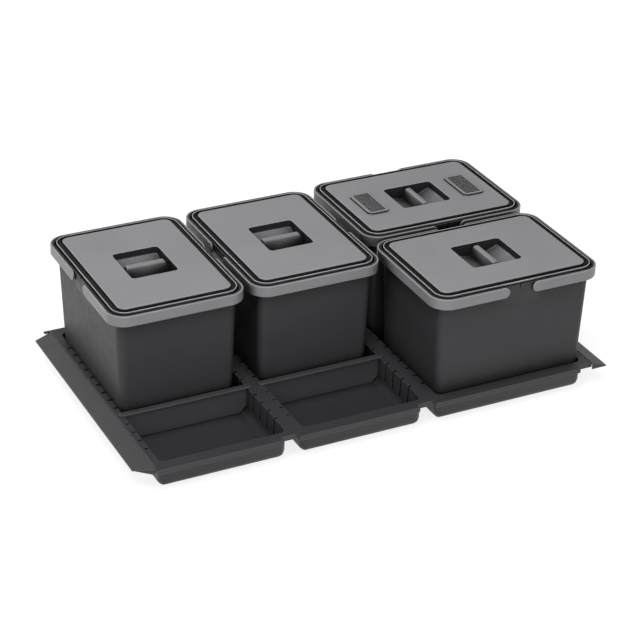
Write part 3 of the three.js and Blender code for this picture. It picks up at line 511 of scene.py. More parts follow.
# %% The bin's skin
def body_profile():
    """Rows of (half, z, corner) from the underside round the rim to the floor, with and without cheek."""
    rim_corner = RIM_CORNER - RIM_HALF
    inner_corner = BODY_CORNER - BODY_WALL
    ridge_inner, skirt_inner = RIM_HALF - RIDGE_THICK, RIM_HALF - SKIRT_THICK
    outside = [
        [wall_half(FOOT_FILLET), FOOT_FILLET, BODY_CORNER, 0],
        [wall_half(CHEEK_FOOT), CHEEK_FOOT, BODY_CORNER, 1.5],
        [wall_half(LEDGE_UNDER), LEDGE_UNDER, BODY_CORNER, 0.8],
        [skirt_inner, LEDGE_UNDER, rim_corner + skirt_inner, 0.5],
        [skirt_inner, SKIRT_BOTTOM, rim_corner + skirt_inner, 0.5],
        [RIM_HALF, SKIRT_BOTTOM, rim_corner + RIM_HALF, 0.7],
        [RIM_HALF, RIDGE_TOP, rim_corner + RIM_HALF, 0.9],
        [ridge_inner, RIDGE_TOP, rim_corner + ridge_inner, 0.9],
        [ridge_inner, LEDGE_TOP, rim_corner + ridge_inner, 0.8],
        [wall_half(LEDGE_TOP) - BODY_WALL, LEDGE_TOP, inner_corner, 0.8],
        [wall_half(FOOT_FILLET) - BODY_WALL, FOOT_FILLET, inner_corner, 0],
    ]
    cheek = [row[:] for row in outside]
    for row in (2, 3, 4):
        near = 5 - row  # a hair apart, so that no two rows coincide
        cheek[row][:3] = [RIM_HALF - 0.01 * near, SKIRT_BOTTOM - 0.03 * near, rim_corner + RIM_HALF]
    foot = fillet_rows(wall_half(FOOT_FILLET), 0, FOOT_FILLET, BODY_CORNER)
    inner_half, inner_fillet = wall_half(FOOT_FILLET) - BODY_WALL, FOOT_FILLET - BODY_FLOOR
    floor = fillet_rows(inner_half, BODY_FLOOR, inner_fillet, inner_corner)[::-1]
    setback = np.array(outside)[1:-1, 3]  # the same for both, so that they keep as many rows
    plain, wedge = (round_corners(np.array(rows)[:, :3], setback) for rows in (outside, cheek))
    return (np.concatenate([foot[:-1], part, floor[1:]]) for part in (plain, wedge))


def rim_outline(rows, places):
    """Rings of the bin for rows of (half, z, corner), with columns at `places` on the two long sides."""
    half, z, corner = rows[:, 0], rows[:, 1], rows[:, 2]
    ring = outline(half, half + LONG_EXTRA, corner)
    quarter = CORNER_STEPS + 1 + SIDE_STEPS
    pieces = []
    for side in range(4):
        arc = ring[:, side * quarter : side * quarter + CORNER_STEPS + 1]
        flank = ring[:, side * quarter + CORNER_STEPS + 1 : (side + 1) * quarter]
        if side in (1, 3):  # the sides along y, at -x and at +x
            sign = -1 if side == 1 else 1
            reach = half + LONG_EXTRA - corner
            ys = np.broadcast_to(np.asarray(places) * sign, (len(half), len(places)))
            ends = np.stack([-sign * reach * 0.98, sign * reach * 0.98], -1)
            ys = np.concatenate([ends[:, :1], ys, ends[:, 1:]], 1)
            flank = np.stack([np.broadcast_to(sign * half[:, None], ys.shape), ys], -1)
        pieces += [arc, flank]
    return lifted(np.concatenate(pieces, 1), z)


def bin_skin():
    """Both profiles carried round, and mixed by a window that is 1 in the cheek and 0 outside it.

    Between the two the window falls as 1 - t^2 (3 - 2t), so the wedge has no end faces."""
    plain, wedge = body_profile()
    near, far = CHEEK_HALF - CHEEK_FADE, CHEEK_HALF + CHEEK_FADE
    half_places = np.concatenate([[6.0, near * 0.8], np.linspace(near, far, 9), [far + 8]])
    places = np.concatenate([-half_places[::-1], half_places])
    first, second = rim_outline(plain, places), rim_outline(wedge, places)
    long_side = np.isclose(np.abs(first[..., 0]), plain[:, 0][:, None])
    t = np.clip((np.abs(first[..., 1]) - near) / (far - near), 0, 1)
    window = ((1 - t * t * (3 - 2 * t)) * long_side)[..., None]
    return skin(first * (1 - window) + second * window)


def notch(side):
    """A wedge that cuts a V into the skirt: two triangles across the notch, a little apart along x."""
    top = BIN_HEIGHT + 0.5
    triangle = [[-NOTCH_HALF, top], [0, BIN_HEIGHT - NOTCH_HEIGHT], [NOTCH_HALF, top]]
    xs = side * (RIM_HALF + np.array([-NOTCH_DEPTH, 1.0]))
    points = np.array([[x, y, z] for x in xs for y, z in triangle])
    faces = [[0, 1, 2], [5, 4, 3], [0, 3, 4, 1], [1, 4, 5, 2], [2, 5, 3, 0]]
    return points, faces if side < 0 else [face[::-1] for face in faces]


BIN_SKIN, NOTCHES = bin_skin(), [notch(-1), notch(1)]
for name in BIN_NAMES:
    shell = build(
        name + "_shell", [placed(BIN_SKIN, PLACES[name])], name, BODY, [name + "_body"]
    )
    cut(shell, [placed(v, PLACES[name]) for v in NOTCHES])
print("bin skin:", len(BIN_SKIN[0]), "points")

# %% [markdown]
# ## Bail handles
# Each handle is a flat band bent to a U round half of the rim, with round ends that turn on short pins in
# the skirt. Seen unrolled it is a long strip with half-round ends, a stadium. We make the stadium as rings
# about its middle line, give it a thickness with soft edges, and then wrap it along the U. A curve with a
# bevel would give a band too, but not its round ends.

# %% Sizes of the handle
HANDLE_INNER = RIM_HALF + 1.2
HANDLE_THICK, HANDLE_HEIGHT, HANDLE_ROUND = 3.5, 18.2, 1.5
PIVOT_OFFSET, PIVOT_RADIUS, PIVOT_REACH = 30.5, 3.0, 1.4
PIVOT_HEIGHT = BIN_HEIGHT - 9.85
HANDLE_MIDDLE = HANDLE_INNER + HANDLE_THICK / 2
HANDLE_CORNER = RIM_CORNER + HANDLE_MIDDLE - RIM_HALF
STRAIGHT = HANDLE_MIDDLE + LONG_EXTRA - HANDLE_CORNER - PIVOT_OFFSET
BEND = HANDLE_CORNER * math.pi / 2
BAND_LENGTH = 2 * STRAIGHT + 2 * BEND + 2 * (HANDLE_MIDDLE - HANDLE_CORNER)  # from pivot to pivot
END_STEPS = 19  # points round each end, between the two edges


# %% The handle's band
def along_band(s, height, depth):
    """Wraps a flat strip along the U: straight, quarter round, straight, quarter round, straight.

    `s` is the way along the middle line from one pivot, `depth` the way outwards from it. On a straight the
    point moves along the side, on a quarter round it turns about the corner's centre by s / radius."""
    mirrored = s > BAND_LENGTH / 2
    u = np.where(mirrored, BAND_LENGTH - s, s)
    angle = np.clip((u - STRAIGHT) / HANDLE_CORNER, 0, math.pi / 2)
    on_side, on_end = np.minimum(u, STRAIGHT), np.maximum(u - STRAIGHT - BEND, 0)
    radius = HANDLE_CORNER + depth
    x = HANDLE_MIDDLE - HANDLE_CORNER + radius * np.cos(angle) - on_end
    y = PIVOT_OFFSET + on_side + radius * np.sin(angle)
    return np.stack([np.where(mirrored, -x, x), y, PIVOT_HEIGHT + height], -1)


def handle_band():
    """A stadium's rings, from the middle of its inner face over the edge to the middle of its outer face."""
    radius, half = HANDLE_HEIGHT / 2, HANDLE_THICK / 2
    rows = soften(
        [[0, -half, 0], [radius, -half, HANDLE_ROUND * 0.8], [radius, half, HANDLE_ROUND], [0, half, 0]], 6
    )
    half_way = np.concatenate(
        [
            np.linspace(0, STRAIGHT * 0.98, 5),
            np.linspace(STRAIGHT, STRAIGHT + BEND, 25),
            np.linspace(STRAIGHT + BEND * 1.02, BAND_LENGTH / 2, 5),
        ]
    )
    way = np.concatenate([half_way, (BAND_LENGTH - half_way)[::-1][1:]])
    turn = np.linspace(0, math.pi, END_STEPS + 2)[1:-1]
    # one trip round: along the top edge, round the far end, back along the bottom edge, round the near end
    middle = np.concatenate([way, np.full(END_STEPS, BAND_LENGTH), way[::-1], np.zeros(END_STEPS)])
    side = np.concatenate([np.zeros_like(way), np.sin(turn), np.zeros_like(way), -np.sin(turn)])
    up = np.concatenate([np.ones_like(way), np.cos(turn), -np.ones_like(way), -np.cos(turn)])
    reach, depth = rows[:, :1], rows[:, 1:2]
    s = middle[None, :] + reach * side[None, :]
    height = reach * up[None, :]
    return skin(along_band(s, height, np.broadcast_to(depth, s.shape)), caps=False)


def pin(side):
    """A short round bar along x: a circle carried from the skirt into the band."""
    tip, bevel, sides = RIM_HALF - PIVOT_REACH, 0.4, 32
    ends = np.array([tip, tip + bevel, HANDLE_MIDDLE])
    radius = np.array([PIVOT_RADIUS - bevel, PIVOT_RADIUS, PIVOT_RADIUS])
    angle = np.linspace(0, 2 * math.pi, sides + 1)[:-1]
    x = side * np.broadcast_to(ends[:, None], (3, sides))
    y = PIVOT_OFFSET + radius[:, None] * np.cos(angle)
    z = PIVOT_HEIGHT + radius[:, None] * np.sin(angle)
    return skin(np.stack([x, y, z], -1))


def flipped(part):
    """The same part at the bin's other end: turned half round about +Z."""
    return part[0] * np.array([-1, -1, 1]), part[1]


BAND = handle_band()
PINS = [pin(-1), pin(1)]
for name in BIN_NAMES:
    for end, side in zip((-1, 1), ENDS[name]):
        parts = [BAND, *PINS] if end > 0 else [flipped(p) for p in (BAND, *PINS)]
        handle = f"{name}_{side}_handle"
        build(
            handle.replace("_handle", "_bail"), [placed(p, PLACES[name]) for p in parts], handle,
            HANDLE, [handle],
        )
print("handle band:", round(BAND_LENGTH, 1), "mm from pivot to pivot")

# %% [markdown]
# ## Lid
# The lid lies on the ledge. From its edge inwards it has a thin upright lip, a groove for the soft strip,
# and a broad flat panel, higher than the lip, with a finger cup sunk in its middle. A hollow plug under the
# groove keeps it in the bin's mouth. Again one profile is carried round, but the plan changes on the way,
# from the bin's outline to the cup's. The cup is shallow at both ends and deep under the bar, so the floor's
# height also depends on the place along the bin.

# %% Sizes of the lid
SEAT_GAP, LID_GAP, LIP_THICK = 0.3, 2.5, 1.5
LID_SEAT = LEDGE_TOP + SEAT_GAP
LID_HALF = RIM_HALF - RIDGE_THICK - LID_GAP
LID_CORNER = RIM_CORNER - RIDGE_THICK - LID_GAP + 2
LIP_CORNER = LID_CORNER - LIP_THICK
LIP_INNER = LID_HALF - LIP_THICK
LIP_TOP = LID_SEAT + 9.6
PANEL_TOP = LIP_TOP + 1.6
PANEL_UNDER = PANEL_TOP - 2
CHANNEL_WIDTH = 8.7
PANEL_HALF = LIP_INNER - CHANNEL_WIDTH
PANEL_CORNER = 13.0
CHANNEL_BOTTOM = PANEL_TOP - 6.5
CHANNEL_UNDER = CHANNEL_BOTTOM - 2.2
PLUG_GAP, PLUG_WALL = 0.9, 2
PLUG_FOOT = LID_SEAT - 8
PLUG_HALF = wall_half(LEDGE_TOP) - BODY_WALL - PLUG_GAP
PLUG_CORNER = BODY_CORNER - BODY_WALL - PLUG_GAP
CUP_HALF_WIDTH, CUP_HALF_LENGTH, CUP_CORNER = 39.5, 45.5, 6.5
CUP_END_DEPTH, CUP_MID_DEPTH, CUP_WALL = 11.0, 24.0, 2.0


# %% The lid's skin
def lid_rings(rows):
    """Rings of the lid's outer parts, for rows of (half, z, corner)."""
    return lifted(outline(rows[:, 0], rows[:, 0] + LONG_EXTRA, rows[:, 2]), rows[:, 1])


def cup_rings(inset, share, out=0.0):
    """Rings of the cup: the plan shrinks by `inset`, and each point lies `share` of the depth down.

    The full depth at y is mid - (mid - end) (y / half length)^2."""
    corner = np.maximum(CUP_CORNER + out - inset, 0.05)
    ring = outline(CUP_HALF_WIDTH + out - inset, CUP_HALF_LENGTH + out - inset, corner)
    t = np.clip(ring[..., 1] / (CUP_HALF_LENGTH + out), -1, 1)
    depth = CUP_MID_DEPTH - (CUP_MID_DEPTH - CUP_END_DEPTH) * t**2
    z = PANEL_TOP - out * (share[:, None] > 0.5) - share[:, None] * depth
    return np.concatenate([ring, z[..., None]], -1)


def cup_profile(edge, foot):
    """(inset, share of depth) from the cup's rim to its middle: a soft edge, a wall and a round foot."""
    turn = np.linspace(0, 1, 6)
    quarter = turn * math.pi / 2
    lip = np.stack([-edge * (1 - np.sin(quarter)), edge * (1 - np.cos(quarter)) / 14], -1)
    level = np.array([[-edge - 1.5, 0], [-edge - 0.2, 0]])  # so that the flat panel keeps flat shading
    wall = np.array([[0.1, 0.25], [0.3, 0.5], [0.5, 0.75]])
    angle = np.linspace(0, math.pi / 2, 9)
    low = np.stack([0.6 + foot * (1 - np.cos(angle)), 1 - (foot / 17) * (1 - np.sin(angle))], -1)
    floor = np.stack([np.linspace(foot + 3, CUP_HALF_WIDTH - 0.01, 9), np.ones(9)], -1)
    return np.concatenate([level, lip, wall, low, floor])


LEVEL_AND_LIP = 8  # rows of a cup's profile above its wall


def lid_skin():
    """Rings from the middle of the underside, over the lip and the panel, to the middle of the cup."""
    well_inner = PANEL_HALF - 2
    plug_inner = PLUG_HALF - PLUG_WALL
    foot_inner = LIP_INNER - 1
    grow = LID_CORNER - LID_HALF
    rim = soften(
        [
            [well_inner - 8, PANEL_UNDER, PANEL_CORNER - 6, 0],
            [well_inner, PANEL_UNDER, PANEL_CORNER - 2, 0.8],
            [well_inner, CHANNEL_UNDER, PANEL_CORNER - 2, 0.8],
            [plug_inner, CHANNEL_UNDER, PLUG_CORNER - PLUG_WALL, 0.8],
            [plug_inner, PLUG_FOOT, PLUG_CORNER - PLUG_WALL, 0.6],
            [PLUG_HALF - 0.7, PLUG_FOOT, PLUG_CORNER - 0.7, 0.7],
            [PLUG_HALF, LID_SEAT, PLUG_CORNER, 0.6],
            [PLUG_HALF, CHANNEL_UNDER, PLUG_CORNER, 0.5],
            [foot_inner, CHANNEL_UNDER, grow + foot_inner, 0.5],
            [foot_inner, LID_SEAT, grow + foot_inner, 0.5],
            [LID_HALF, LID_SEAT, LID_CORNER, 0.6],
            [LID_HALF, LIP_TOP, LID_CORNER, 0.7],
            [LIP_INNER, LIP_TOP, LIP_CORNER, 0.7],
            [LIP_INNER, CHANNEL_BOTTOM, LIP_CORNER, 0.8],
            [PANEL_HALF, CHANNEL_BOTTOM, PANEL_CORNER, 0.8],
            [PANEL_HALF, PANEL_TOP, PANEL_CORNER, 1.8],
            [PANEL_HALF - 4, PANEL_TOP, PANEL_CORNER - 3, 0.5],
            [PANEL_HALF - 6, PANEL_TOP, PANEL_CORNER - 4, 0],
        ]
    )
    profile = cup_profile(0.7, 2.2)
    cup = cup_rings(profile[:, 0], profile[:, 1])
    below = profile[LEVEL_AND_LIP:]
    under = cup_rings(below[:, 0], below[:, 1], CUP_WALL)[::-1]
    under_top = under[-1:].copy()
    under_top[..., 2] = PANEL_UNDER
    return skin(np.concatenate([under, under_top, lid_rings(rim), cup]), caps=False)


# %% [markdown]
# The grip bar bridges the cup along the bin's short side. It is round on top, and both its ends run down into
# the cup's walls. That is a height over a small plan: the lower of a half round across the bar and a flat
# top with falling shoulders along it, with the corner between the two made soft.

# %% The grip bar
BAR_HALF, BAR_TOP, BAR_TIP, BAR_SHOULDER = 5.2, PANEL_TOP - 0.4, 31.5, PANEL_TOP - 12


def grip_bar():
    """Height over (x, y): a soft minimum of the half round and the shoulders, down to the cup's floor."""
    reach = CUP_HALF_WIDTH + 0.8
    x = np.concatenate([[-reach], np.linspace(-reach + 0.3, reach - 0.3, 71), [reach]])
    angle = np.linspace(0, math.pi, 25)
    y = -BAR_HALF * np.cos(angle)
    arch = BAR_TOP - BAR_HALF + BAR_HALF * np.sin(angle)
    top = np.interp(
        np.abs(x),
        [0, BAR_TIP - 3, BAR_TIP - 1.4, BAR_TIP, BAR_TIP + 1.5, BAR_TIP + 3, reach],
        [BAR_TOP, BAR_TOP, BAR_TOP - 0.35, BAR_TOP - 1.3, BAR_TOP - 3.6, BAR_TOP - 8, BAR_SHOULDER],
    )
    blend = 0.5
    low = -blend * np.log(np.exp(-arch[None, :] / blend) + np.exp(-top[:, None] / blend))
    low = np.minimum(low + blend * math.log(2) * np.exp(-np.abs(arch[None, :] - top[:, None]) / 3), BAR_TOP)
    floor = PANEL_TOP - CUP_MID_DEPTH - 1
    ring_y = np.concatenate([[y[0]], y, [y[-1]]])
    z = np.concatenate([np.full((len(x), 1), floor), low, np.full((len(x), 1), floor)], 1)
    z = np.maximum(z, floor)
    grid = np.stack([np.broadcast_to(x[:, None], z.shape), np.broadcast_to(ring_y, z.shape), z], -1)
    return skin(grid)


LID_SKIN, GRIP_BAR = lid_skin(), grip_bar()
print("lid skin:", len(LID_SKIN[0]), "points")

# %% [markdown]
# The vented lid has a rectangular pocket under each grille. A Boolean modifier cuts the two openings through
# the panel, which is simpler than leaving room for them in the rings, and a box with a ledge round its open
# floor hangs under each one.

# %% Vent openings and pockets
VENT_OFFSET, VENT_LENGTH, VENT_WIDTH = 91.7, 40.0, 79.0
VENT_PLACES = (-VENT_OFFSET, VENT_OFFSET)
POCKET_HALF_LENGTH, POCKET_HALF_WIDTH = VENT_LENGTH / 2 - 2.5, VENT_WIDTH / 2 - 2.5
POCKET_BOTTOM, POCKET_LEDGE, POCKET_WALL = PANEL_TOP - 11, 4.0, 1.6
POCKET_FOOT = POCKET_BOTTOM - 1.8


def vent_opening(y):
    """The block that cuts one opening through the panel."""
    ring = outline([POCKET_HALF_WIDTH] * 2, [POCKET_HALF_LENGTH] * 2, [1] * 2, 4, 3)
    return skin(lifted(ring, [PANEL_UNDER - 0.5, PANEL_TOP + 1]) + np.array([0, y, 0]))


def pocket(y):
    """A box wall with a ledge: a closed profile of (outset, z) carried round the pocket's plan."""
    profile = np.array(
        [
            [POCKET_WALL, PANEL_UNDER + 0.6], [0, PANEL_UNDER + 0.6], [0, POCKET_BOTTOM],
            [-POCKET_LEDGE, POCKET_BOTTOM], [-POCKET_LEDGE, POCKET_FOOT], [POCKET_WALL, POCKET_FOOT],
        ]
    )
    out = profile[:, 0]
    ring = outline(POCKET_HALF_WIDTH + out, POCKET_HALF_LENGTH + out, np.ones_like(out), 3, 3)
    return skin(lifted(ring, profile[:, 1]) + np.array([0, y, 0]), closed_rows=True)


def face_data(piece, place):
    """The middles of a piece's faces in its bin's place, in millimetres, and their normals."""
    polygons = piece.data.polygons
    centre, normal = np.empty(3 * len(polygons)), np.empty(3 * len(polygons))
    polygons.foreach_get("center", centre)
    polygons.foreach_get("normal", normal)
    return centre.reshape(-1, 3) / MM - np.array(place[:3]), normal.reshape(-1, 3)


def repaint(piece, material, chosen):
    """Gives one more material to the chosen faces of a piece."""
    piece.data.materials.append(material)
    for face in np.nonzero(chosen)[0]:
        piece.data.polygons[int(face)].material_index = len(piece.data.materials) - 1


def paint_cup(cover, place):
    """Gives the cup's floor the grip bar's finish with its deep painted shade, and its walls a near-black
    colour that is painted shade.
    """
    centre, normal = face_data(cover, place)
    half = np.array([CUP_HALF_WIDTH, CUP_HALF_LENGTH])[:: -1 if place[3] else 1] + 0.3
    sunk = (np.abs(centre[:, :2]) < half).all(1) & (centre[:, 2] < PANEL_TOP - 0.4)
    upright = np.abs(normal[:, 2]) < 0.6
    repaint(cover, GRIP_DEEP_SHADE, sunk & ~upright)
    repaint(cover, PAINTED_WALL_SHADE, sunk & upright)


for name in BIN_NAMES:
    place, lid = PLACES[name], name + "_lid"
    shell = build(lid + "_cover", [placed(LID_SKIN, place)], lid, LID, [lid])
    paint_cup(shell, place)
    build(lid + "_grip", [placed(GRIP_BAR, place)], lid, GRIP_DEEP_SHADE)
    if name == VENTED:
        cut(shell, [placed(vent_opening(y), place) for y in VENT_PLACES])
        for y, side in zip(VENT_PLACES, ENDS[name]):
            build(f"{side}_vent_pocket", [placed(pocket(y), place)], lid, LID)

# %% [markdown]
# ## Soft strip
# The strip lines the groove and carries a low round bead. Its profile is closed, so it is carried round as a
# ring without ends.

# %% The strip
STRIP_THICK, STRIP_GAP, BEAD_WIDTH, BEAD_HEIGHT = 1.0, 0.4, 2.4, 1.4


def strip_skin():
    """A flat band with a half-round bead in its middle: a closed profile of (half, z) carried round."""
    inner, outer = PANEL_HALF + STRIP_GAP, LIP_INNER - STRIP_GAP
    middle, bottom = (inner + outer) / 2, CHANNEL_BOTTOM + SEAT_GAP
    angle = np.linspace(0, math.pi, 13)
    bead = np.stack(
        [middle + BEAD_WIDTH / 2 * np.cos(angle), bottom + STRIP_THICK + BEAD_HEIGHT * np.sin(angle)], -1
    )
    profile = np.concatenate(
        [
            [[inner, bottom], [outer, bottom], [outer, bottom + STRIP_THICK]],
            bead,
            [[inner, bottom + STRIP_THICK]],
        ]
    )
    half = profile[:, 0]
    corner = PANEL_CORNER + (half - PANEL_HALF) / CHANNEL_WIDTH * (LIP_CORNER - PANEL_CORNER)
    rows = np.stack([half, profile[:, 1], corner], -1)
    return skin(lid_rings(rows), closed_rows=True)


STRIP = strip_skin()
for name in BIN_NAMES:
    build(
        name + "_lid_seal", [placed(STRIP, PLACES[name])], name + "_lid", RUBBER,
        [name + "_lid_strip"],
    )
print("strips:", len(BIN_NAMES))

# %% [markdown]
# ## Vent grilles and filters
# Each vent is a raised frame round a field of 17 by 7 almost square holes. A grid whose lines run along the
# holes' edges is a quick way to it: each cell is either plastic or hole, the plastic cells get a top and
# a bottom face, and wherever plastic meets a hole there is a wall.

# %% A pierced plate
def pierced_plate(xs, ys, solid, low, high):
    """Plastic cells of a grid between two heights: tops, bottoms, and walls where a cell has no neighbour."""
    nx, ny = len(xs), len(ys)
    gx, gy = np.meshgrid(xs, ys, indexing="ij")
    top = np.stack([gx, gy, np.full_like(gx, high)], -1).reshape(-1, 3)
    bottom = top * np.array([1, 1, 0]) + np.array([0, 0, low])
    i, j = np.nonzero(solid)

    def corner(a, b):
        return a * ny + b

    upper = np.stack([corner(i, j), corner(i + 1, j), corner(i + 1, j + 1), corner(i, j + 1)], -1)
    faces = [upper, upper[:, ::-1] + nx * ny]
    around = np.pad(solid, 1)
    # the way to each neighbour, and the two corners of the cell that face it
    sides = (
        (-1, 0, (0, 0), (0, 1)), (1, 0, (1, 1), (1, 0)),
        (0, -1, (1, 0), (0, 0)), (0, 1, (0, 1), (1, 1)),
    )
    for di, dj, a, b in sides:
        open_side = solid & ~around[1 + di : 1 + di + nx - 1, 1 + dj : 1 + dj + ny - 1]
        i, j = np.nonzero(open_side)
        first, second = corner(i + a[0], j + a[1]), corner(i + b[0], j + b[1])
        faces.append(np.stack([second, first, first + nx * ny, second + nx * ny], -1))
    return np.concatenate([top, bottom]), np.concatenate(faces).tolist()


# %% The grilles
MESH_LENGTH, MESH_WIDTH, MESH_BAR = 28.0, 68.0, 0.8
VENT_THICK, VENT_EDGE, VENT_CORNER = 2.4, 0.7, 9.0
HOLES_ACROSS, HOLES_ALONG = 17, 7
GRILLE_BOTTOM = PANEL_TOP + SEAT_GAP


def hole_lines(length, count):
    """Places of the holes' edges: the pitch times the count, less half a bar on either side of each hole."""
    pitch = length / count
    middle = (np.arange(count) + 0.5) * pitch - length / 2
    half = (pitch - MESH_BAR) / 2
    return np.stack([middle - half, middle + half], -1).ravel()


def grille(y):
    """A pierced plate inside a frame whose profile has a bevelled outer edge."""
    hx, hy = hole_lines(MESH_WIDTH, HOLES_ACROSS), hole_lines(MESH_LENGTH, HOLES_ALONG)
    xs = np.concatenate([[-MESH_WIDTH / 2 - 1], hx, [MESH_WIDTH / 2 + 1]])
    ys = np.concatenate([[-MESH_LENGTH / 2 - 1], hy, [MESH_LENGTH / 2 + 1]])
    solid = np.ones((len(xs) - 1, len(ys) - 1), bool)
    solid[1::2, 1::2] = False
    top = GRILLE_BOTTOM + VENT_THICK
    plate = pierced_plate(xs, ys, solid, GRILLE_BOTTOM + 0.2, top - 0.35)
    span = VENT_WIDTH / 2 - MESH_WIDTH / 2
    rows = np.array(
        [
            [0, GRILLE_BOTTOM], [0, top - VENT_EDGE], [VENT_EDGE * 0.3, top - VENT_EDGE * 0.25],
            [VENT_EDGE, top], [span - 0.4, top], [span - 0.1, top - 0.1], [span, top - 0.4],
            [span, GRILLE_BOTTOM],
        ]
    )
    ring = outline(
        VENT_WIDTH / 2 - rows[:, 0],
        VENT_LENGTH / 2 - rows[:, 0] * (VENT_LENGTH - MESH_LENGTH) / (VENT_WIDTH - MESH_WIDTH),
        np.maximum(VENT_CORNER - rows[:, 0], 0.4), 6, 3,
    )
    border = skin(lifted(ring, rows[:, 1]), closed_rows=True)
    plug_rows = np.array([[0, -2.4], [0, 0.2], [1.4, 0.2], [1.4, -2.4]])
    plug_ring = outline(
        POCKET_HALF_WIDTH - 0.4 - plug_rows[:, 0], POCKET_HALF_LENGTH - 0.4 - plug_rows[:, 0],
        np.full(4, 0.8), 3, 3,
    )
    plug = skin(lifted(plug_ring, GRILLE_BOTTOM + plug_rows[:, 1]), closed_rows=True)
    return [(points + np.array([0, y, 0]), faces) for points, faces in (plate, border, plug)]


def filter_pad(y):
    """A felt block with soft edges, from rows of (inset, z)."""
    low, high = POCKET_BOTTOM + SEAT_GAP, POCKET_BOTTOM + 5.8
    rows = soften([[6, low, 0], [0, low, 0.8], [0, high, 0.8], [6, high, 0]])
    ring = outline(
        POCKET_HALF_WIDTH - 0.5 - rows[:, 0], POCKET_HALF_LENGTH - 0.5 - rows[:, 0],
        np.maximum(1.5 - rows[:, 0], 0.2), 4, 3,
    )
    return skin(lifted(ring, rows[:, 1]) + np.array([0, y, 0]))


for y, side in zip(VENT_PLACES, ENDS[VENTED]):
    place = PLACES[VENTED]
    vent = build(
        f"{side}_vent", [placed(p, place) for p in grille(y)], f"{side}_vent_grille",
        GRILLE, [f"{side}_vent_grille"],
    )
    # the grille's upright faces get a near-black colour: painted shade
    repaint(vent, PAINTED_WALL_SHADE, np.abs(face_data(vent, place)[1][:, 2]) < 0.5)
    pad = build(
        f"{side}_filter", [placed(filter_pad(y), place)], VENTED + "_lid", FELT,
        [f"{side}_filter_pad"],
    )
print("vents: 2, holes in each:", HOLES_ACROSS * HOLES_ALONG)

# %% [markdown]
# ## Tray and dividers
# The tray has seventy comb slots, three tubs and thin lips, and its CAD solid already has all of them at
# their right sizes. What it lacks is soft edges: a mould never makes a knife edge, and it is the thin line
# of light along each edge that tells the eye so. We take a copy of each solid, merge its loose triangles,
# join those that lie in one plane, and round every real edge with a Bevel modifier.

# %% Softer copies of the CAD solids
IN_ONE_PLANE = math.radians(0.5)
EDGE_ROUND = 0.5


def softened_copy(node, name, body, material):
    """A copy of a CAD node with merged points, joined flat faces and rounded edges."""
    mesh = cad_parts[node].data.copy()
    mesh.name = name
    mesh.materials.clear()
    shape = bmesh.new()
    shape.from_mesh(mesh)
    bmesh.ops.remove_doubles(shape, verts=shape.verts, dist=SAME_POINT)
    bmesh.ops.dissolve_limit(
        shape, angle_limit=IN_ONE_PLANE, verts=shape.verts, edges=shape.edges, use_dissolve_boundaries=False
    )
    shape.to_mesh(mesh)
    shape.free()
    mesh.materials.append(material)
    smooth(mesh)
    piece = add_object(name, mesh)
    rounding = piece.modifiers.new("edges", "BEVEL")
    rounding.width = EDGE_ROUND * MM
    rounding.segments = 3
    rounding.limit_method = "ANGLE"
    rounding.angle_limit = SHARP
    rounding.harden_normals = True
    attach(piece, body)
    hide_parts(node)
    return piece


softened_copy("base_tray", "tray_moulding", "tray", TRAY)
for side in ("left", "middle"):
    softened_copy(side + "_divider", side + "_partition", side + "_divider", DIVIDER)

# %% [markdown]
# ## Floor and light
# The set stands on a plain pale floor. To the camera, and in reflections, the floor and the background are
# white, and only the shadow of the set darkens them. The light is a studio's: a softbox above and to the
# left, a long strip in front, a weak strip low at either side, and one behind that draws the far edges.
# The left strip is the stronger of the two, so the bins' left walls are lighter than their fronts.

# %% The floor
WHITE_FILL = 0.8  # white light that the floor adds for the camera, so that only the shadow shows
FAR_FILL, NEAR, FAR = 1.1, 0.8, 1.5  # beyond the shadow, from NEAR to FAR metres, it rises to full white


FLOOR_GREY = 0.35


def mixed(tree, factor, low, high):
    """One shader where the factor is 0, the other where it is 1."""
    node = tree.nodes.new("ShaderNodeMixShader")
    for socket, value in zip(node.inputs, (factor, low, high)):
        tree.links.new(value, socket)
    return node.outputs[0]


def floor_material():
    """Pale and matt for the lamps; for camera and glossy rays it also glows, up to white."""
    material = bpy.data.materials.new("floor")
    tree, surface = empty_tree(material, "ShaderNodeOutputMaterial")
    paint = tree.nodes.new("ShaderNodeBsdfDiffuse")
    paint.inputs["Color"].default_value = (FLOOR_GREY, FLOOR_GREY, FLOOR_GREY, 1)
    glow = tree.nodes.new("ShaderNodeEmission")
    glow.inputs["Color"].default_value = (1, 1, 1, 1)
    place = tree.nodes.new("ShaderNodeNewGeometry")
    distance = tree.nodes.new("ShaderNodeVectorMath")
    distance.operation = "LENGTH"
    tree.links.new(place.outputs["Position"], distance.inputs[0])
    rise = tree.nodes.new("ShaderNodeMapRange")
    rise.interpolation_type = "SMOOTHSTEP"
    for key, value in zip(("From Min", "From Max", "To Min", "To Max"), (NEAR, FAR, WHITE_FILL, FAR_FILL)):
        rise.inputs[key].default_value = value
    tree.links.new(distance.outputs["Value"], rise.inputs["Value"])
    tree.links.new(rise.outputs["Result"], glow.inputs["Strength"])
    both = tree.nodes.new("ShaderNodeAddShader")
    tree.links.new(paint.outputs[0], both.inputs[0])
    tree.links.new(glow.outputs[0], both.inputs[1])
    tree.links.new(mixed(tree, seen_directly(tree), paint.outputs[0], both.outputs[0]), surface)
    return material


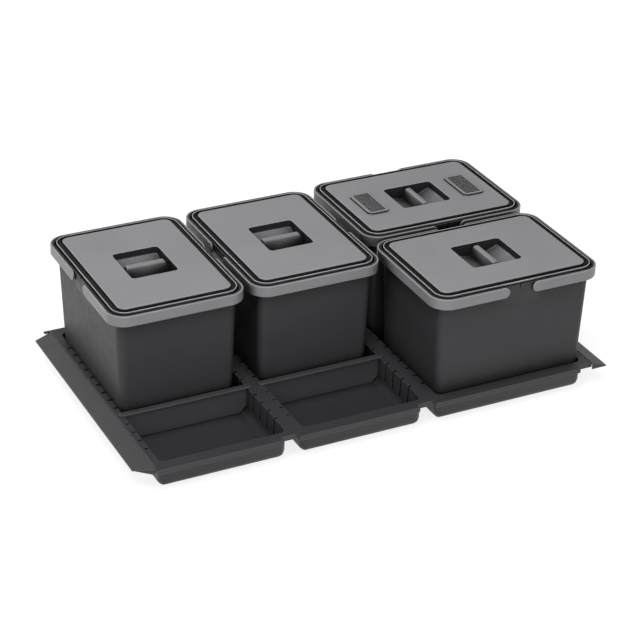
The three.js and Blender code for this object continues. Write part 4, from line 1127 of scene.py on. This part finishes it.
def seen_directly(tree):
    """1 for camera, glossy and transmission rays, 0 for the rays that carry light about."""
    path = tree.nodes.new("ShaderNodeLightPath").outputs
    either = calc(tree, "MAXIMUM", path["Is Camera Ray"], path["Is Transmission Ray"])
    return calc(tree, "MAXIMUM", either, path["Is Glossy Ray"])


FLOOR_HALF = 9.0  # metres
floor_mesh = bpy.data.meshes.new("floor")
corners = FLOOR_HALF * np.array([[-1, -1, 0], [1, -1, 0], [1, 1, 0], [-1, 1, 0]])
floor_mesh.from_pydata(corners.tolist(), [], [[0, 1, 2, 3]])
floor_mesh.materials.append(floor_material())
floor = add_object("floor", floor_mesh)

# %% World and lamps
WORLD_FILL = 0.42  # light from all round; the camera sees white instead


def background(tree, strength):
    """White light of one strength from every direction."""
    node = tree.nodes.new("ShaderNodeBackground")
    node.inputs["Color"].default_value = (1, 1, 1, 1)
    node.inputs["Strength"].default_value = strength
    return node.outputs[0]


world = bpy.data.worlds.new("studio")
tree, surface = empty_tree(world, "ShaderNodeOutputWorld")
path = tree.nodes.new("ShaderNodeLightPath")
sky = mixed(tree, path.outputs["Is Camera Ray"], background(tree, WORLD_FILL), background(tree, 1.0))
tree.links.new(sky, surface)
bpy.context.scene.world = world


def lamp(name, eye, target, width, height, power):
    """A soft lamp of width by height at `eye` that shines at `target`, in metres and watts."""
    data = bpy.data.lights.new(name, "AREA")
    data.shape, data.size, data.size_y, data.energy = "RECTANGLE", width, height, power
    light = add_object(name, data)
    light.location = eye
    light.rotation_mode = "QUATERNION"
    light.rotation_quaternion = (Vector(target) - Vector(eye)).to_track_quat("-Z", "Y")


MIDDLE = (0.0, 0.0, 0.15)
lamp("top softbox", (-0.85, -1.15, 2.4), MIDDLE, 1.3, 1.3, 40)
lamp("front strip", (-0.8, -3.7, 1.2), MIDDLE, 2.6, 0.75, 40)
lamp("left strip", (-3.9, -0.6, 0.42), MIDDLE, 2.2, 0.75, 8)
lamp("right strip", (3.9, -0.6, 0.42), MIDDLE, 2.2, 0.75, 6)
lamp("edge strip", (-2.0, 3.3, 1.8), MIDDLE, 2.4, 0.8, 40)
bpy.context.scene.view_settings.view_transform = "Standard"
print("lamps:", len(bpy.data.lights))
